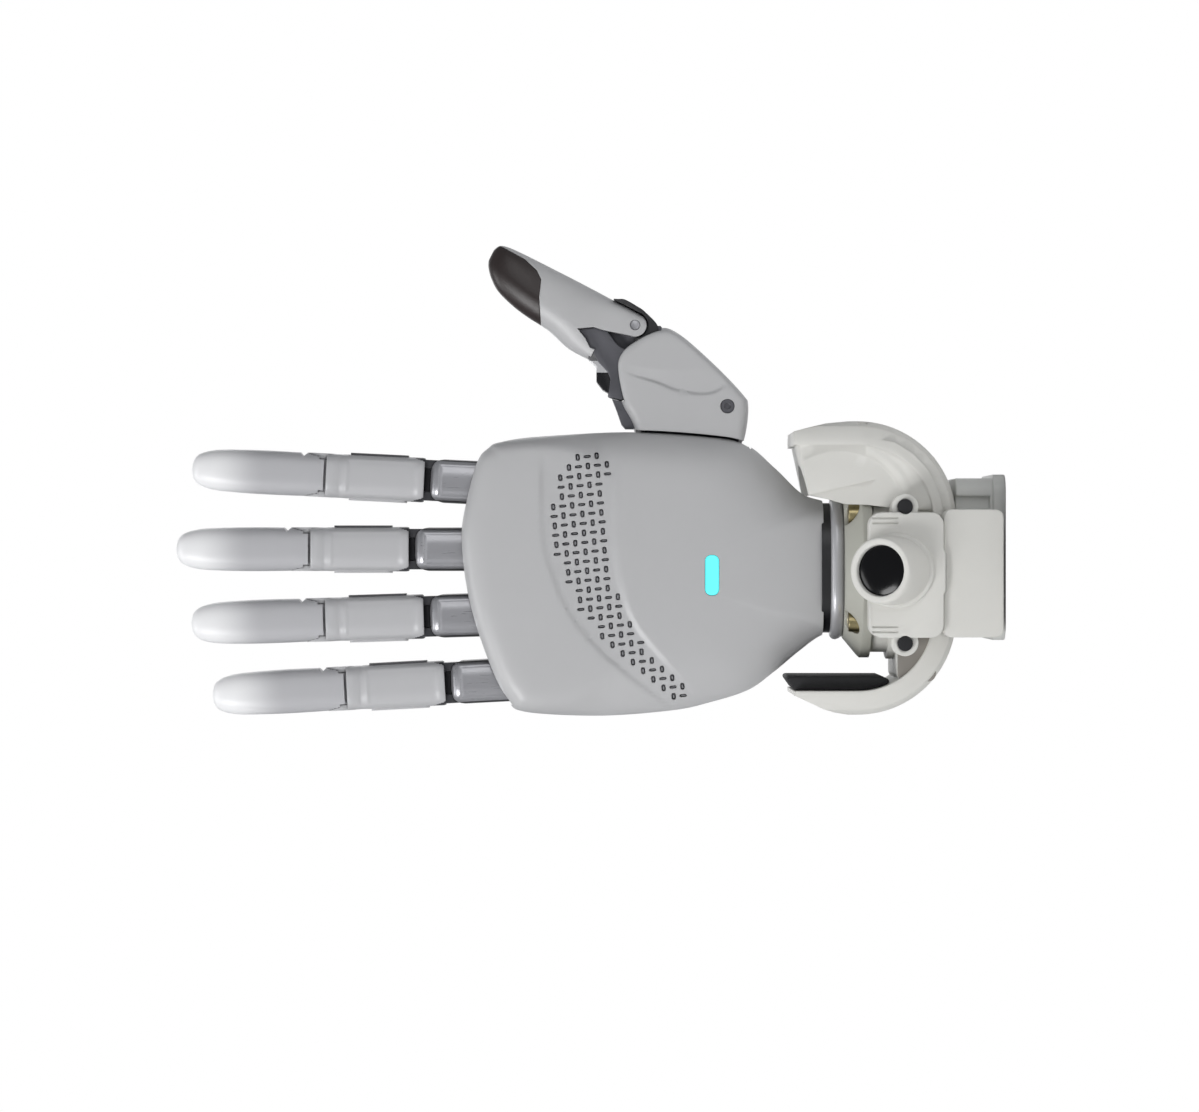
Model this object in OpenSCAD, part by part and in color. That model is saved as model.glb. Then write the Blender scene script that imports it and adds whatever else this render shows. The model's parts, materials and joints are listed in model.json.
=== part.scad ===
// Left dexterous robot hand with its wrist and arm end.
// The hand points along +Z from the centre of the arm's mounting face, the thumb is on +X, and the back
// of the hand faces -Y. The fingers curl towards +Y.

/* [Palm] */
// Length of the palm from its neck to the edge over the knuckles
palm_length = 118.5; // [110:0.5:128]
// Width of the palm at its widest
palm_width = 91; // [88:0.5:98]
// Height of the back cover above the seam between the two covers
cover_rise = 13; // [12:0.5:16]
// Depth of the palm side cover below the seam
shell_drop = 17; // [15:0.5:20]
// Wall of both palm covers
cover_wall = 2.2; // [1.8:0.1:2.6]
// Width of the neck where the palm meets the wrist
neck_width = 43; // [40:0.5:44]
// Thickness of the palm frame's plate
frame_plate = 3; // [2.5:0.1:3.5]

/* [Fingers] */
// Width of a finger
finger_width = 14; // [13:0.1:15]
// Depth of a finger from its back to its pad
finger_depth = 14.6; // [13.5:0.1:15]
// Distance between neighbouring knuckles
knuckle_pitch = 20.6; // [20:0.1:22]
// Knuckle axis to middle joint axis
proximal_length = 31; // [29:0.5:36]
// Middle joint axis to end joint axis
middle_length = 34.4; // [32:0.1:38]
// End joint axis to fingertip
distal_length = 41.3; // [38:0.1:46]
// Distance of the knuckles back from the edge of the back cover
knuckle_setback = 15.9; // [14:0.1:17]
// Radius of the finger pins
pin_r = 1.5; // [1.2:0.05:1.8]
// Radius of the finger hinge barrels
barrel_r = 5.2; // [4.6:0.1:5.6]
// Width of the tongue in each finger hinge
tongue_width = 7; // [6:0.1:8]

/* [Thumb] */
// Distance of the thumb's swing axle from the hand's centre line
thumb_axle_x = 34; // [33:0.5:34.5]
// Length of the thumb's swing barrel
thumb_barrel_length = 32; // [28:0.5:34]
// Radius of the thumb's swing barrel
thumb_barrel_r = 9.2; // [8.6:0.1:9.4]
// Thickness of the thumb's lower shell
thumb_shell_depth = 18; // [17.6:0.1:19]
// Width of the thumb's tip
thumb_tip_width = 14.6; // [14:0.1:15]
// End hinge of the thumb to its tip
thumb_tip_length = 51.5; // [46:0.5:56]
// Angle of the thumb's tip from the hand's axis
thumb_tip_angle = 27; // [24:0.5:30]
// Radius of the thumb's hinge pin
thumb_pin_r = 1.6; // [1.3:0.05:2]

/* [Wrist] */
// Radius of the wrist flange
flange_r = 28.8; // [27:0.1:29.2]
// Height of the wrist flange's cone
flange_height = 8.4; // [7:0.1:9]
// Radius of the wrist shaft
shaft_r = 9; // [8:0.1:10]
// Radius of the wiring hole through the wrist
wiring_r = 6; // [4:0.1:6.5]
// Half width of the wrist guard
guard_half = 46.5; // [45.5:0.5:50]
// Depth of the wrist guard from front to back
guard_depth = 52; // [46:1:58]
// Wall of the wrist guard
guard_wall = 7.6; // [6:0.1:8]
// Thickness of the guard's rubber pad
pad_thick = 4.4; // [3:0.1:5]
// Radius of the flange screws' heads
flange_screw_r = 3.2; // [2.6:0.1:3.4]

/* [Camera] */
// Width of the camera pod
pod_width = 39.2; // [36:0.2:42]
// Radius of the camera's front ring
lens_ring_r = 9; // [8:0.1:10]
// Length of the camera barrel
lens_barrel_length = 14; // [12:0.5:16]
// Tilt of the camera towards the fingers
camera_tilt = 29; // [20:1:32]

/* [Arm] */
// Length of the arm link from its mounting face to the guard
arm_length = 15.7; // [14:0.1:18]
// Radius of the circle that the arm's bolts stand on
bolt_circle_r = 18; // [16:0.1:19]
// Radius of the arm's bolt holes
bolt_hole_r = 2.75; // [2:0.05:3]
// Radius of the centring bore in the arm's mounting face
centring_r = 10; // [9:0.1:11]

/* [Fits] */
// Radial clearance of a running pin
pin_clearance = 0.05; // [0.02:0.01:0.1]
// Gap between pieces that move past each other
gap = 0.4; // [0.3:0.05:0.5]
// Seam between fixed pieces
seam = 0.2; // [0.1:0.05:0.3]

/* [Hidden] */
$fn = 48;
big = 200;
eps = 0.01;

// Heights of the wrist's stack, from the arm's mounting face up
guard_z = arm_length;
drum_z = guard_z + 18.8;
drum_height = 7.5;
flange_z = drum_z + drum_height + gap;
collar_z = flange_z + flange_height;
collar_height = 2.4;
seal_z = collar_z + collar_height;
seal_height = 2;
palm_z = seal_z + seal_height;
palm_end = palm_z + palm_length;

// Seam between the palm's covers, a little behind the finger axes
seam_y = -2.5;
plate_y = seam_y - 1;
plate_back = plate_y + frame_plate;

// Fingers: index, middle, ring and little
fingers = [0, 1, 2, 3];
splay = [2.8, 0, -1.8, -3.1];
knuckle_drop = [4.9, 0, 4.8, 11.5];
middle_finger_x = 6;
function knuckle_x(i) = middle_finger_x + (1 - i) * knuckle_pitch;
function knuckle_z(i) = palm_end - knuckle_setback - knuckle_drop[i];
knuckle_r = 6;
knuckle_tongue = 8;
knuckle_lug = 2.4;
bay_back = 9;
bay_roof = finger_depth / 2 + 1.2;
ear_r = 4.6;
end_tongue = 10;
joint_gap = 0.9;

// Thumb
thumb_y = 4;
thumb_z = 100;
hinge_out = 43.9;
hinge_up = 17.3;
hinge_x = thumb_axle_x + hinge_out;
hinge_z = thumb_z + hinge_up;
axle_r = 2.5;
axle_lug = 3;
axle_z = thumb_z - thumb_barrel_length / 2 - gap - axle_lug;
axle_length = thumb_barrel_length + 2 * (gap + axle_lug);
pocket_below = 20;
pocket_above = 25.4;
frame_thick = 4.8;
heel_r = 24;
cap_r = 8.2;

// ---- Shapes that repeat ----

function catmull(a, b, c, d, t) =
  0.5 * (2 * b + (c - a) * t + (2 * a - 5 * b + 4 * c - d) * t * t + (3 * b - a - 3 * c + d) * t * t * t);

// A closed smooth curve through the points p, with n steps to each
function smooth(p, n) = [
  for (i = [0 : len(p) - 1], k = [0 : n - 1])
    catmull(p[(i + len(p) - 1) % len(p)], p[i], p[(i + 1) % len(p)], p[(i + 2) % len(p)], k / n)
];

// A closed surface through rings of equally many points, each ring flat
module loft(rings) {
  n = len(rings[0]);
  m = len(rings);
  polyhedron(
    points = [for (r = rings, p = r) p],
    faces = concat(
      [[for (k = [0 : n - 1]) k]],
      [for (j = [0 : m - 2], k = [0 : n - 1]) each [
        [j * n + k, (j + 1) * n + k, j * n + (k + 1) % n],
        [j * n + (k + 1) % n, (j + 1) * n + k, (j + 1) * n + (k + 1) % n]
      ]],
      [[for (k = [n - 1 : -1 : 0]) (m - 1) * n + k]]
    ),
    convexity = 6
  );
}

// Steps of a pillow's crown: how far each ring of its outline is drawn in
crown_steps = [1, 0.992, 0.978, 0.955, 0.92, 0.87, 0.79, 0.66, 0.45, 0.2];
soft_edge = [6, 0.625];
firm_edge = [20, 0.4];
function crown(s, edge) = pow(1 - pow(s, edge[0]), edge[1]);

// A crowned solid over the outline o, [x, z] points, around centre c, from y to y + rise
module pillow(o, c, y, rise, edge = soft_edge) {
  rings = [for (s = crown_steps) [for (p = o)
    [c[0] + (p[0] - c[0]) * s, y + rise * crown(s, edge), c[1] + (p[1] - c[1]) * s]]];
  loft(rise > 0 ? rings : [for (r = rings) [for (k = [len(r) - 1 : -1 : 0]) r[k]]]);
}

// The same, crowned to both sides of y
module double_pillow(o, c, y, rise, edge) {
  n = len(crown_steps) - 1;
  loft([for (j = [-n : n]) let (s = crown_steps[abs(j)]) [for (p = o)
    [c[0] + (p[0] - c[0]) * s, y + sign(j) * rise * crown(s, edge), c[1] + (p[1] - c[1]) * s]]]);
}

// One superelliptic section, w wide in x and from y0 to y1, at height z
section_points = 24;
function section(w, y0, y1, z, power = 3) = [
  for (k = [0 : section_points - 1])
    let (a = 360 * (k + 0.5) / section_points, e = 2 / power)
      [w / 2 * sign(cos(a)) * pow(abs(cos(a)), e),
       (y0 + y1) / 2 + (y1 - y0) / 2 * sign(sin(a)) * pow(abs(sin(a)), e), z]
];

module rounded(w, d, r) {
  square([w - 2 * r, d], center = true);
  square([w, d - 2 * r], center = true);
  for (x = [-1, 1], y = [-1, 1])
    translate([x * (w / 2 - r), y * (d / 2 - r)]) circle(r);
}

// A flat oval with round ends, w wide and d deep
module oval(w, d) {
  square([w - d, d], center = true);
  for (x = [-1, 1]) translate([x * (w - d) / 2, 0]) circle(d / 2, $fn = 64);
}

// A disc around the x axis, from x0 to x1
module disc_x(r, x0, x1) {
  translate([x0, 0, 0]) rotate([0, 90, 0]) cylinder(r = r, h = x1 - x0);
}

module disc_y(r, y0, y1) {
  translate([0, y1, 0]) rotate([90, 0, 0]) cylinder(r = r, h = y1 - y0);
}

// Lays a drawing of [x, z] points out along y, from y0 to y1
module along_y(y0, y1) {
  translate([0, y1, 0]) rotate([90, 0, 0]) linear_extrude(y1 - y0) children();
}

module at_knuckle(i) {
  translate([knuckle_x(i), 0, knuckle_z(i)]) rotate([0, splay[i], 0]) children();
}

module at_middle_joint(i) {
  at_knuckle(i) translate([0, 0, proximal_length]) children();
}

module at_end_joint(i) {
  at_middle_joint(i) translate([0, 0, middle_length]) children();
}

// The space past the line where two finger links would meet when bent, on the pad side; up is 1 or -1
module bend_relief(up) {
  y = finger_depth;
  rotate([90, 0, 90]) linear_extrude(big, center = true)
    polygon([[0.5, -up], [0.5, up * joint_gap], [y, up * (joint_gap + y - 0.5)], [y, -up]]);
}

// ---- Arm ----

arm_width = 50.2;
arm_depth = 46;
arm_centre = 3.4;
arm_y = 3;
cover_front = guard_depth / 2 + 12;

module bolt_places() {
  for (a = [45 : 90 : 315]) rotate([0, 0, a]) translate([bolt_circle_r, 0, 0]) children();
}

module arm_link() {
  color([0.62, 0.63, 0.62])
  difference() {
    union() {
      translate([arm_centre, arm_y, 0]) linear_extrude(arm_length) rounded(arm_width, arm_depth, 5);
      translate([arm_centre, arm_y, 0]) linear_extrude(4) rounded(arm_width + 2.4, arm_depth + 2.4, 6);
    }
    translate([0, 0, -eps]) cylinder(r = centring_r, h = 5);
    translate([0, 0, -eps]) cylinder(r = wiring_r, h = big);
    translate([0, 0, -eps]) bolt_places() cylinder(r = bolt_hole_r, h = 12, $fn = 32);
    for (x = [-1, 1]) translate([arm_centre + x * (arm_width / 2), arm_y, 9.8])
      cube([3, arm_depth - 16, 6], center = true);
    translate([18.8, arm_y - arm_depth / 2 - eps, 5]) cube([4, 2.2, big]);
  }
}

module arm_cover() {
  y0 = -cover_front;
  y1 = arm_y - arm_depth / 2 - 1.2 - seam;
  x0 = -21.7;
  x1 = 18.4;
  color([0.86, 0.86, 0.84])
  difference() {
    translate([(x0 + x1) / 2, 0, (2.2 + guard_z) / 2])
      along_y(y0, y1) rounded(x1 - x0, guard_z - 2.2 - seam, 4);
    translate([(x0 + x1) / 2, 0, (2.2 + guard_z) / 2])
      along_y(y0 + 2.4, y1 + eps) rounded(x1 - x0 - 4.8, guard_z - 2.2 - seam - 4.8, 2);
  }
}

// ---- Wrist ----

corner_r = 31.2;
corner_z = guard_z + corner_r;
corner_x = guard_half - corner_r;
guard_top = 67.2;
pad_start = 37;
arm_inner = guard_half - guard_wall;

// The guard's wall, cut across, with chamfered shoulders: [outwards, y]
guard_shoulder = 6;
module guard_section() {
  d = guard_depth / 2;
  polygon([[corner_r - guard_wall, -d], [corner_r - guard_shoulder, -d], [corner_r - 1.6, -d + 2],
           [corner_r, -d + guard_shoulder], [corner_r, d - guard_shoulder], [corner_r - 1.6, d - 2],
           [corner_r - guard_shoulder, d], [corner_r - guard_wall, d]]);
}

module guard_corner() {
  translate([corner_x, 0, corner_z]) rotate([90, 0, 0]) rotate_extrude(angle = -90, $fn = 96) guard_section();
}

module guard_arm(length) {
  translate([corner_x, 0, corner_z]) linear_extrude(length) guard_section();
}

// What the guard's two tapered ends leave free on its outer side
module guard_ends() {
  far = guard_half + 5;
  along_y(-big, big) {
    polygon([[far, 46], [guard_half, 50], [guard_half - 0.7, 57], [guard_half - 1.9, 62],
             [guard_half - 3.3, guard_top + 0.1], [guard_half - 3.5, big], [far, big]]);
    polygon([[-far, 46], [-guard_half, 50], [-guard_half + 0.8, 54.6], [-guard_half + 2, 58.2],
             [-guard_half + 3.4, 61.1], [-guard_half + 6.2, guard_top], [-guard_half + 6.4, big], [-far, big]]);
  }
}

module wrist_guard() {
  back = drum_z - guard_z;
  slot = [3, 5, 3];
  color([0.84, 0.83, 0.81])
  difference() {
    union() {
      guard_corner();
      mirror([1, 0, 0]) guard_corner();
      guard_arm(guard_top - corner_z);
      mirror([1, 0, 0]) guard_arm(guard_top - corner_z);
      translate([-corner_x, 0, corner_z]) rotate([0, 90, 0]) linear_extrude(2 * corner_x) guard_section();
      translate([0, 0, guard_z + guard_wall - 1 + (back - guard_wall + 1) / 2])
        along_y(-guard_depth / 2 + 3, guard_depth / 2 - 3) rounded(2 * arm_inner - 6, back - guard_wall + 1, 2.5);
      along_y(-guard_depth / 2 + 2, guard_depth / 2 - 2)
        polygon([[arm_inner + 1, guard_top - 1], [23, collar_z + 11.8], [flange_r + 1, drum_z - 1],
                 [arm_inner - 4, drum_z - 4], [arm_inner + 1, drum_z + 6]]);
    }
    cylinder(r = wiring_r + 2, h = big);
    translate([0, 0, drum_z]) cylinder(r = flange_r + 0.8, h = collar_z + 0.9 - drum_z, $fn = 96);
    translate([0, 0, collar_z + 0.9]) cylinder(r1 = flange_r + 0.8, r2 = flange_r + 6, h = 20, $fn = 96);
    guard_ends();
    translate([guard_half - 1, -guard_depth / 2 + 1.5, corner_z - 3]) cube(slot);
  }
}

// How far the guard's rounded corner comes in from its straight arm at a height
function corner_in(z) = corner_r - guard_wall - sqrt(pow(corner_r - guard_wall, 2) - pow(max(0, corner_z - z), 2));

module guard_pad() {
  steps = 6;
  color([0.05, 0.05, 0.05])
  translate([-arm_inner + seam, 0, 0]) along_y(-guard_depth / 2 + 5, guard_depth / 2 - 5)
    polygon(concat([for (i = [0 : steps]) let (z = corner_z + (pad_start - corner_z) * i / steps) [corner_in(z), z]],
                   [[pad_thick - 1, pad_start], [pad_thick, pad_start + 2], [pad_thick, guard_top + 1.4],
                    [pad_thick - 0.8, guard_top + 2.1], [0, guard_top - 0.4]]));
}

module wrist_drum() {
  color([0.82, 0.82, 0.80])
  translate([0, 0, drum_z]) difference() {
    union() {
      cylinder(r = flange_r - 1.8, h = drum_height, $fn = 96);
      cylinder(r = flange_r + 0.4, h = 2.4, $fn = 96);
    }
    translate([0, 0, -eps]) cylinder(r = shaft_r + 5, h = big, $fn = 64);
  }
}

module wrist_bearing() {
  color([0.7, 0.7, 0.72])
  translate([0, 0, drum_z]) rotate_extrude($fn = 64)
    difference() {
      translate([shaft_r + pin_clearance, 0.3]) square([5 - pin_clearance, drum_height - 0.9]);
      translate([shaft_r + 2.5, drum_height - 0.6]) circle(0.9, $fn = 24);
    }
}

module screw_places() {
  for (a = [45 : 90 : 315]) rotate([0, 0, a]) translate([flange_r - 4.6, 0, 0]) children();
}

module wrist_flange() {
  lip = 3;
  rim = 22.5;
  color([0.80, 0.80, 0.77])
  difference() {
    union() {
      translate([0, 0, flange_z]) rotate_extrude($fn = 96)
        polygon([[0, 0], [flange_r, 0], [flange_r, lip], [flange_r - 1, lip + 1], [rim, flange_height],
                 [0, flange_height]]);
      translate([0, 0, drum_z + 0.5]) cylinder(r = shaft_r, h = flange_z - drum_z, $fn = 64);
    }
    cylinder(r = wiring_r, h = big);
    translate([0, 0, flange_z + lip + 0.8]) screw_places() cylinder(r = flange_screw_r + 0.5, h = big, $fn = 32);
    translate([0, 0, flange_z - eps]) screw_places() cylinder(r = 2, h = big, $fn = 32);
  }
}

module flange_screws() {
  color([0.68, 0.60, 0.44])
  translate([0, 0, flange_z + 3.8]) screw_places() difference() {
    union() {
      cylinder(r = flange_screw_r, h = 2.8, $fn = 32);
      translate([0, 0, -3.6]) cylinder(r = 2, h = 3.7, $fn = 32);
    }
    translate([0, 0, 1.2]) cylinder(r = 1.5, h = big, $fn = 6);
  }
}

neck_depth = 30;

module wrist_collar() {
  color([0.78, 0.79, 0.80])
  translate([0, 0, collar_z]) difference() {
    linear_extrude(collar_height) oval(neck_width + 1.2, neck_depth + 1.2);
    translate([0, 0, -eps]) cylinder(r = wiring_r, h = big);
  }
}

module collar_seal() {
  color([0.12, 0.12, 0.13])
  translate([0, 0, seal_z]) difference() {
    linear_extrude(seal_height) oval(neck_width - 1.6, neck_depth - 1.6);
    translate([0, 0, -eps]) linear_extrude(big) oval(neck_width - 12, neck_depth - 12);
  }
}

// ---- Palm ----

palm_centre = [-0.02 * palm_width, palm_z + 0.48 * palm_length];
neck = neck_width / 2;

// The palm's outline as seen from the back: the knuckle edge, the thumb's side, the neck and the little
// finger's side. Each pair is a share of the palm's width and a share of its length.
palm_sides = [[0.10, 1], [0.24, 0.986], [0.378, 0.957], [0.426, 0.928], [0.45, 0.886], [0.468, 0.724],
              [0.478, 0.544], [0.464, 0.349], [0.436, 0.227], [0.352, 0.146], [0.264, 0.075]];
palm_sides_back = [[-0.293, 0.08], [-0.365, 0.147], [-0.431, 0.219], [-0.476, 0.327], [-0.502, 0.422],
                   [-0.521, 0.617], [-0.508, 0.82], [-0.468, 0.872], [-0.345, 0.922], [-0.12, 0.978]];
function palm_point(p) = [p[0] * palm_width, palm_z + p[1] * palm_length];
palm_outline = smooth(concat(
  [for (p = palm_sides) palm_point(p)],
  [[neck, palm_z + 2], [0.86 * neck, palm_z - 9], [0, palm_z - 15], [-0.86 * neck, palm_z - 9],
   [-neck, palm_z + 2]],
  [for (p = palm_sides_back) palm_point(p)]
), 2);
inner_share = 1 - 2 * cover_wall / palm_width;
function drawn_in(o, c, s) = [for (p = o) c + (p - c) * s];

// What the two covers leave open: the knuckles, and everything below the neck
module palm_bays(y) {
  translate([-big / 2, -big / 2, palm_z + seam - big]) cube(big);
  for (i = fingers) {
    x0 = i == 3 ? -big / 2 : knuckle_x(i) - knuckle_pitch / 2;
    x1 = i == 0 ? big / 2 : knuckle_x(i) + knuckle_pitch / 2 + eps;
    translate([x0, y, knuckle_z(i) - bay_back]) cube([x1 - x0, big, big]);
  }
}

led_x = -2.5;
led_z = palm_z + 0.318 * palm_length;
led_w = 13.4;
led_h = 4.7;
led_y = seam_y - cover_rise;

module led_slot(grow) {
  translate([led_x, 0, led_z]) along_y(led_y - 5, led_y + 4) oval(led_w + 2 * grow, led_h + 2 * grow);
}

// The sensor grille's two long edges: height at each place across the hand
band_top = [[-48, 104], [-44, 108], [-29.8, 124], [-20.5, 135.2], [-7.4, 142.9], [6.1, 146.8], [21.8, 147.7],
            [36, 147.7]];
band_foot = [[-48, 89], [-42.6, 95.2], [-29.8, 106.8], [-17.9, 116.4], [-4.2, 121.5], [9, 123.4],
             [21.8, 123.1], [36, 121.6]];
band_ends = [-44, 36];
module band() {
  along_y(led_y - 5, seam_y - 4)
    polygon(concat([for (x = [band_ends[0] : 4 : band_ends[1]]) [x, lookup(x, band_top)]],
                   [for (x = [band_ends[1] : -4 : band_ends[0]]) [x, lookup(x, band_foot)]]));
}

// The slots in the cover over the grille stand on a grid that is turned a little, tall and flat by turns.
// Row 0 is nearest the thumb; each pair is a row and the first or the last column in it.
mark_first = [[0, 3], [2, 1], [4, 1], [5, 0], [10, 0], [11, 1], [13, 1], [14, 2], [16, 2], [18, 3.8], [19, 4],
              [26, 11]];
mark_last = [[0, 5], [1, 6], [2, 6], [3, 5], [14, 5], [15, 6], [17, 6], [18, 7], [19, 7], [20, 8], [21, 8], [25, 12],
             [26, 12]];
mark_rows = 27;
mark_pitch = 3.02;
mark_turn = 4.8;
mark_x = 10.4 + 8 * mark_pitch * cos(mark_turn);
mark_z = palm_z + 0.738 * palm_length + 8 * mark_pitch * sin(mark_turn);
tall_mark = [2.1, 1.3];
flat_mark = [0.9, 2.2];

module perforations() {
  y0 = led_y - 5;
  translate([mark_x, y0, mark_z]) rotate([0, -mark_turn, 0])
    for (row = [0 : mark_rows - 1], column = [round(lookup(row, mark_first)) : round(lookup(row, mark_last))]) {
      slot = (row + column) % 2 == 1 ? tall_mark : flat_mark;
      translate([-row * mark_pitch - slot[0] / 2, 0, -column * mark_pitch - slot[1] / 2])
        cube([slot[0], seam_y - 4 - y0, slot[1]]);
    }
}

grille_thick = 1.2;

module cover_solid(less) {
  pillow(less == 0 ? palm_outline : drawn_in(palm_outline, palm_centre, 1 - 2 * less / palm_width),
         palm_centre, seam_y - seam / 2 + (less == 0 ? 0 : eps), less - cover_rise);
}

module palm_cover() {
  color([0.74, 0.74, 0.74])
  difference() {
    cover_solid(0);
    cover_solid(cover_wall);
    palm_bays(-bay_roof);
    led_slot(seam / 2);
    perforations();
    translate([thumb_axle_x, thumb_y, pocket_z]) cylinder(r = thumb_barrel_r + gap, h = pocket_end - pocket_z);
  }
}

module sensor_grille() {
  under = cover_wall + seam;
  color([0.5, 0.5, 0.5])
  intersection() {
    band();
    difference() {
      cover_solid(under);
      cover_solid(under + grille_thick);
    }
  }
}

module status_led() {
  color([0.49, 0.98, 0.98])
  translate([led_x, 0, led_z]) along_y(led_y + 0.1, led_y + 3.4) oval(led_w, led_h);
}

pocket_x = thumb_axle_x - thumb_barrel_r - 0.8;
pocket_z = thumb_z - pocket_below;
pocket_end = thumb_z + pocket_above;

module palm_shell() {
  y = seam_y + seam / 2;
  color([0.70, 0.70, 0.70])
  difference() {
    pillow(palm_outline, palm_centre, y, shell_drop);
    pillow(drawn_in(palm_outline, palm_centre, inner_share), palm_centre, y - eps, shell_drop - cover_wall);
    palm_bays(-big / 2);
    translate([pocket_x, -big / 2, pocket_z]) cube([big, big, pocket_end - pocket_z]);
  }
}

lug_x0 = knuckle_tongue / 2 + gap / 2;
board_tall = 40;
board_x = [-22, 14];
board_z = [palm_z + 29, palm_z + 29 + board_tall];

module palm_frame() {
  bar = 4;
  color([0.42, 0.43, 0.45])
  difference() {
    union() {
      difference() {
        along_y(plate_y, plate_back) polygon(drawn_in(palm_outline, palm_centre, inner_share - 0.008));
        palm_bays(-big / 2);
        translate([pocket_x, -big / 2, pocket_z]) cube([big, big, pocket_end - pocket_z]);
      }
      translate([0, 0, seal_z]) linear_extrude(9) oval(neck_width - 13, neck_depth - 13.4);
      for (i = fingers) at_knuckle(i) for (m = [0, 1]) mirror([m, 0, 0]) {
        disc_x(knuckle_r, lug_x0, lug_x0 + knuckle_lug);
        translate([lug_x0, -knuckle_r, -bay_back - bar]) cube([knuckle_lug, 9, bay_back + bar]);
      }
      for (i = fingers) at_knuckle(i) translate([-lug_x0 - knuckle_lug / 2, plate_y - 1, -bay_back - bar + 0.5])
        cube([2 * lug_x0 + knuckle_lug, frame_plate + 2, bar - 1]);
      for (z = [axle_z, axle_z + axle_length - axle_lug])
        translate([0, 0, z]) {
          translate([thumb_axle_x, thumb_y, 0]) cylinder(r = 5, h = axle_lug);
          translate([pocket_x - 4, plate_y, 0]) cube([thumb_axle_x - pocket_x + 4, thumb_y - plate_y + 2, axle_lug]);
        }
      for (x = board_x, z = board_z) translate([x, 0, z]) disc_y(2.6, plate_y - 3, plate_y + eps);
    }
    translate([0, 0, seal_z - 1]) cylinder(r = wiring_r, h = 10.5);
    for (i = fingers) at_knuckle(i) disc_x(pin_r, -10, 10);
    translate([thumb_axle_x, thumb_y, axle_z - eps]) cylinder(r = axle_r, h = axle_length + 2 * eps);
    for (x = board_x, z = board_z) translate([x, 0, z]) disc_y(1, plate_y - 4, 3);
  }
}

module knuckle_pins() {
  color([0.75, 0.75, 0.77])
  for (i = fingers) at_knuckle(i) disc_x(pin_r, -lug_x0 - knuckle_lug, lug_x0 + knuckle_lug);
}

module thumb_axle() {
  color([0.75, 0.75, 0.77])
  translate([thumb_axle_x, thumb_y, axle_z]) cylinder(r = axle_r, h = axle_length);
}

motor_r = 5;
motor_length = 36;
motor_x = [15, 3, -9, -21];

module motor(length) {
  cylinder(r = motor_r, h = length);
  translate([0, 0, -1]) cylinder(r = 3, h = 1 + eps);
  translate([0, 0, length - eps]) cylinder(r = 1, h = 3);
}

module finger_motors() {
  color([0.55, 0.55, 0.57])
  for (x = motor_x) translate([x, plate_back + motor_r, palm_z + 40]) motor(motor_length);
}

module thumb_motor() {
  color([0.55, 0.55, 0.57])
  translate([12, plate_back + motor_r, palm_z + 13]) motor(20);
}

module control_board() {
  color([0.05, 0.28, 0.16]) {
    difference() {
      along_y(plate_y - 4.6, plate_y - 3)
        translate([(board_x[0] + board_x[1]) / 2, board_z[0] + board_tall / 2])
          rounded(board_x[1] - board_x[0] + 10, board_tall + 10, 3);
      for (x = board_x, z = board_z) translate([x, 0, z]) disc_y(1, -20, 0);
    }
    along_y(plate_y - 6, plate_y - 4.6 + eps)
      translate([(board_x[0] + board_x[1]) / 2, board_z[0] + board_tall / 2]) square([14, 14], center = true);
  }
}

// ---- Fingers ----

proximal_start = knuckle_r + gap;

module finger_profile(w = finger_width) {
  rounded(w, finger_depth, 3.4);
}

module proximal(i) {
  color([0.52, 0.53, 0.55])
  at_knuckle(i) difference() {
    union() {
      difference() {
        translate([0, 0, proximal_start])
          linear_extrude(proximal_length - proximal_start - joint_gap) finger_profile();
        for (m = [0, 1]) mirror([m, 0, 0]) translate([0, 0, proximal_length])
          disc_x(barrel_r + gap, tongue_width / 2, finger_width);
        translate([0, 0, proximal_length]) bend_relief(-1);
        translate([0, 0, proximal_start - joint_gap]) bend_relief(1);
        translate([0, -finger_depth / 2 - 0.1, (proximal_start + proximal_length) / 2 + 1])
          cube([finger_width - 3.6, 1.2, proximal_length - proximal_start - 6], center = true);
      }
      disc_x(knuckle_r, -knuckle_tongue / 2, knuckle_tongue / 2);
      translate([-knuckle_tongue / 2, -knuckle_r, 0]) cube([knuckle_tongue, 1.4 * knuckle_r, proximal_start + 1]);
      translate([0, 0, proximal_length]) disc_x(barrel_r, -tongue_width / 2, tongue_width / 2);
    }
    disc_x(pin_r + pin_clearance, -10, 10);
    translate([0, 0, proximal_length]) disc_x(pin_r, -10, 10);
  }
}

ear_x0 = tongue_width / 2 + gap / 2;
ear_x1 = finger_width / 2 - 0.5;
end_slot = end_tongue / 2 + gap / 2;

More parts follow.
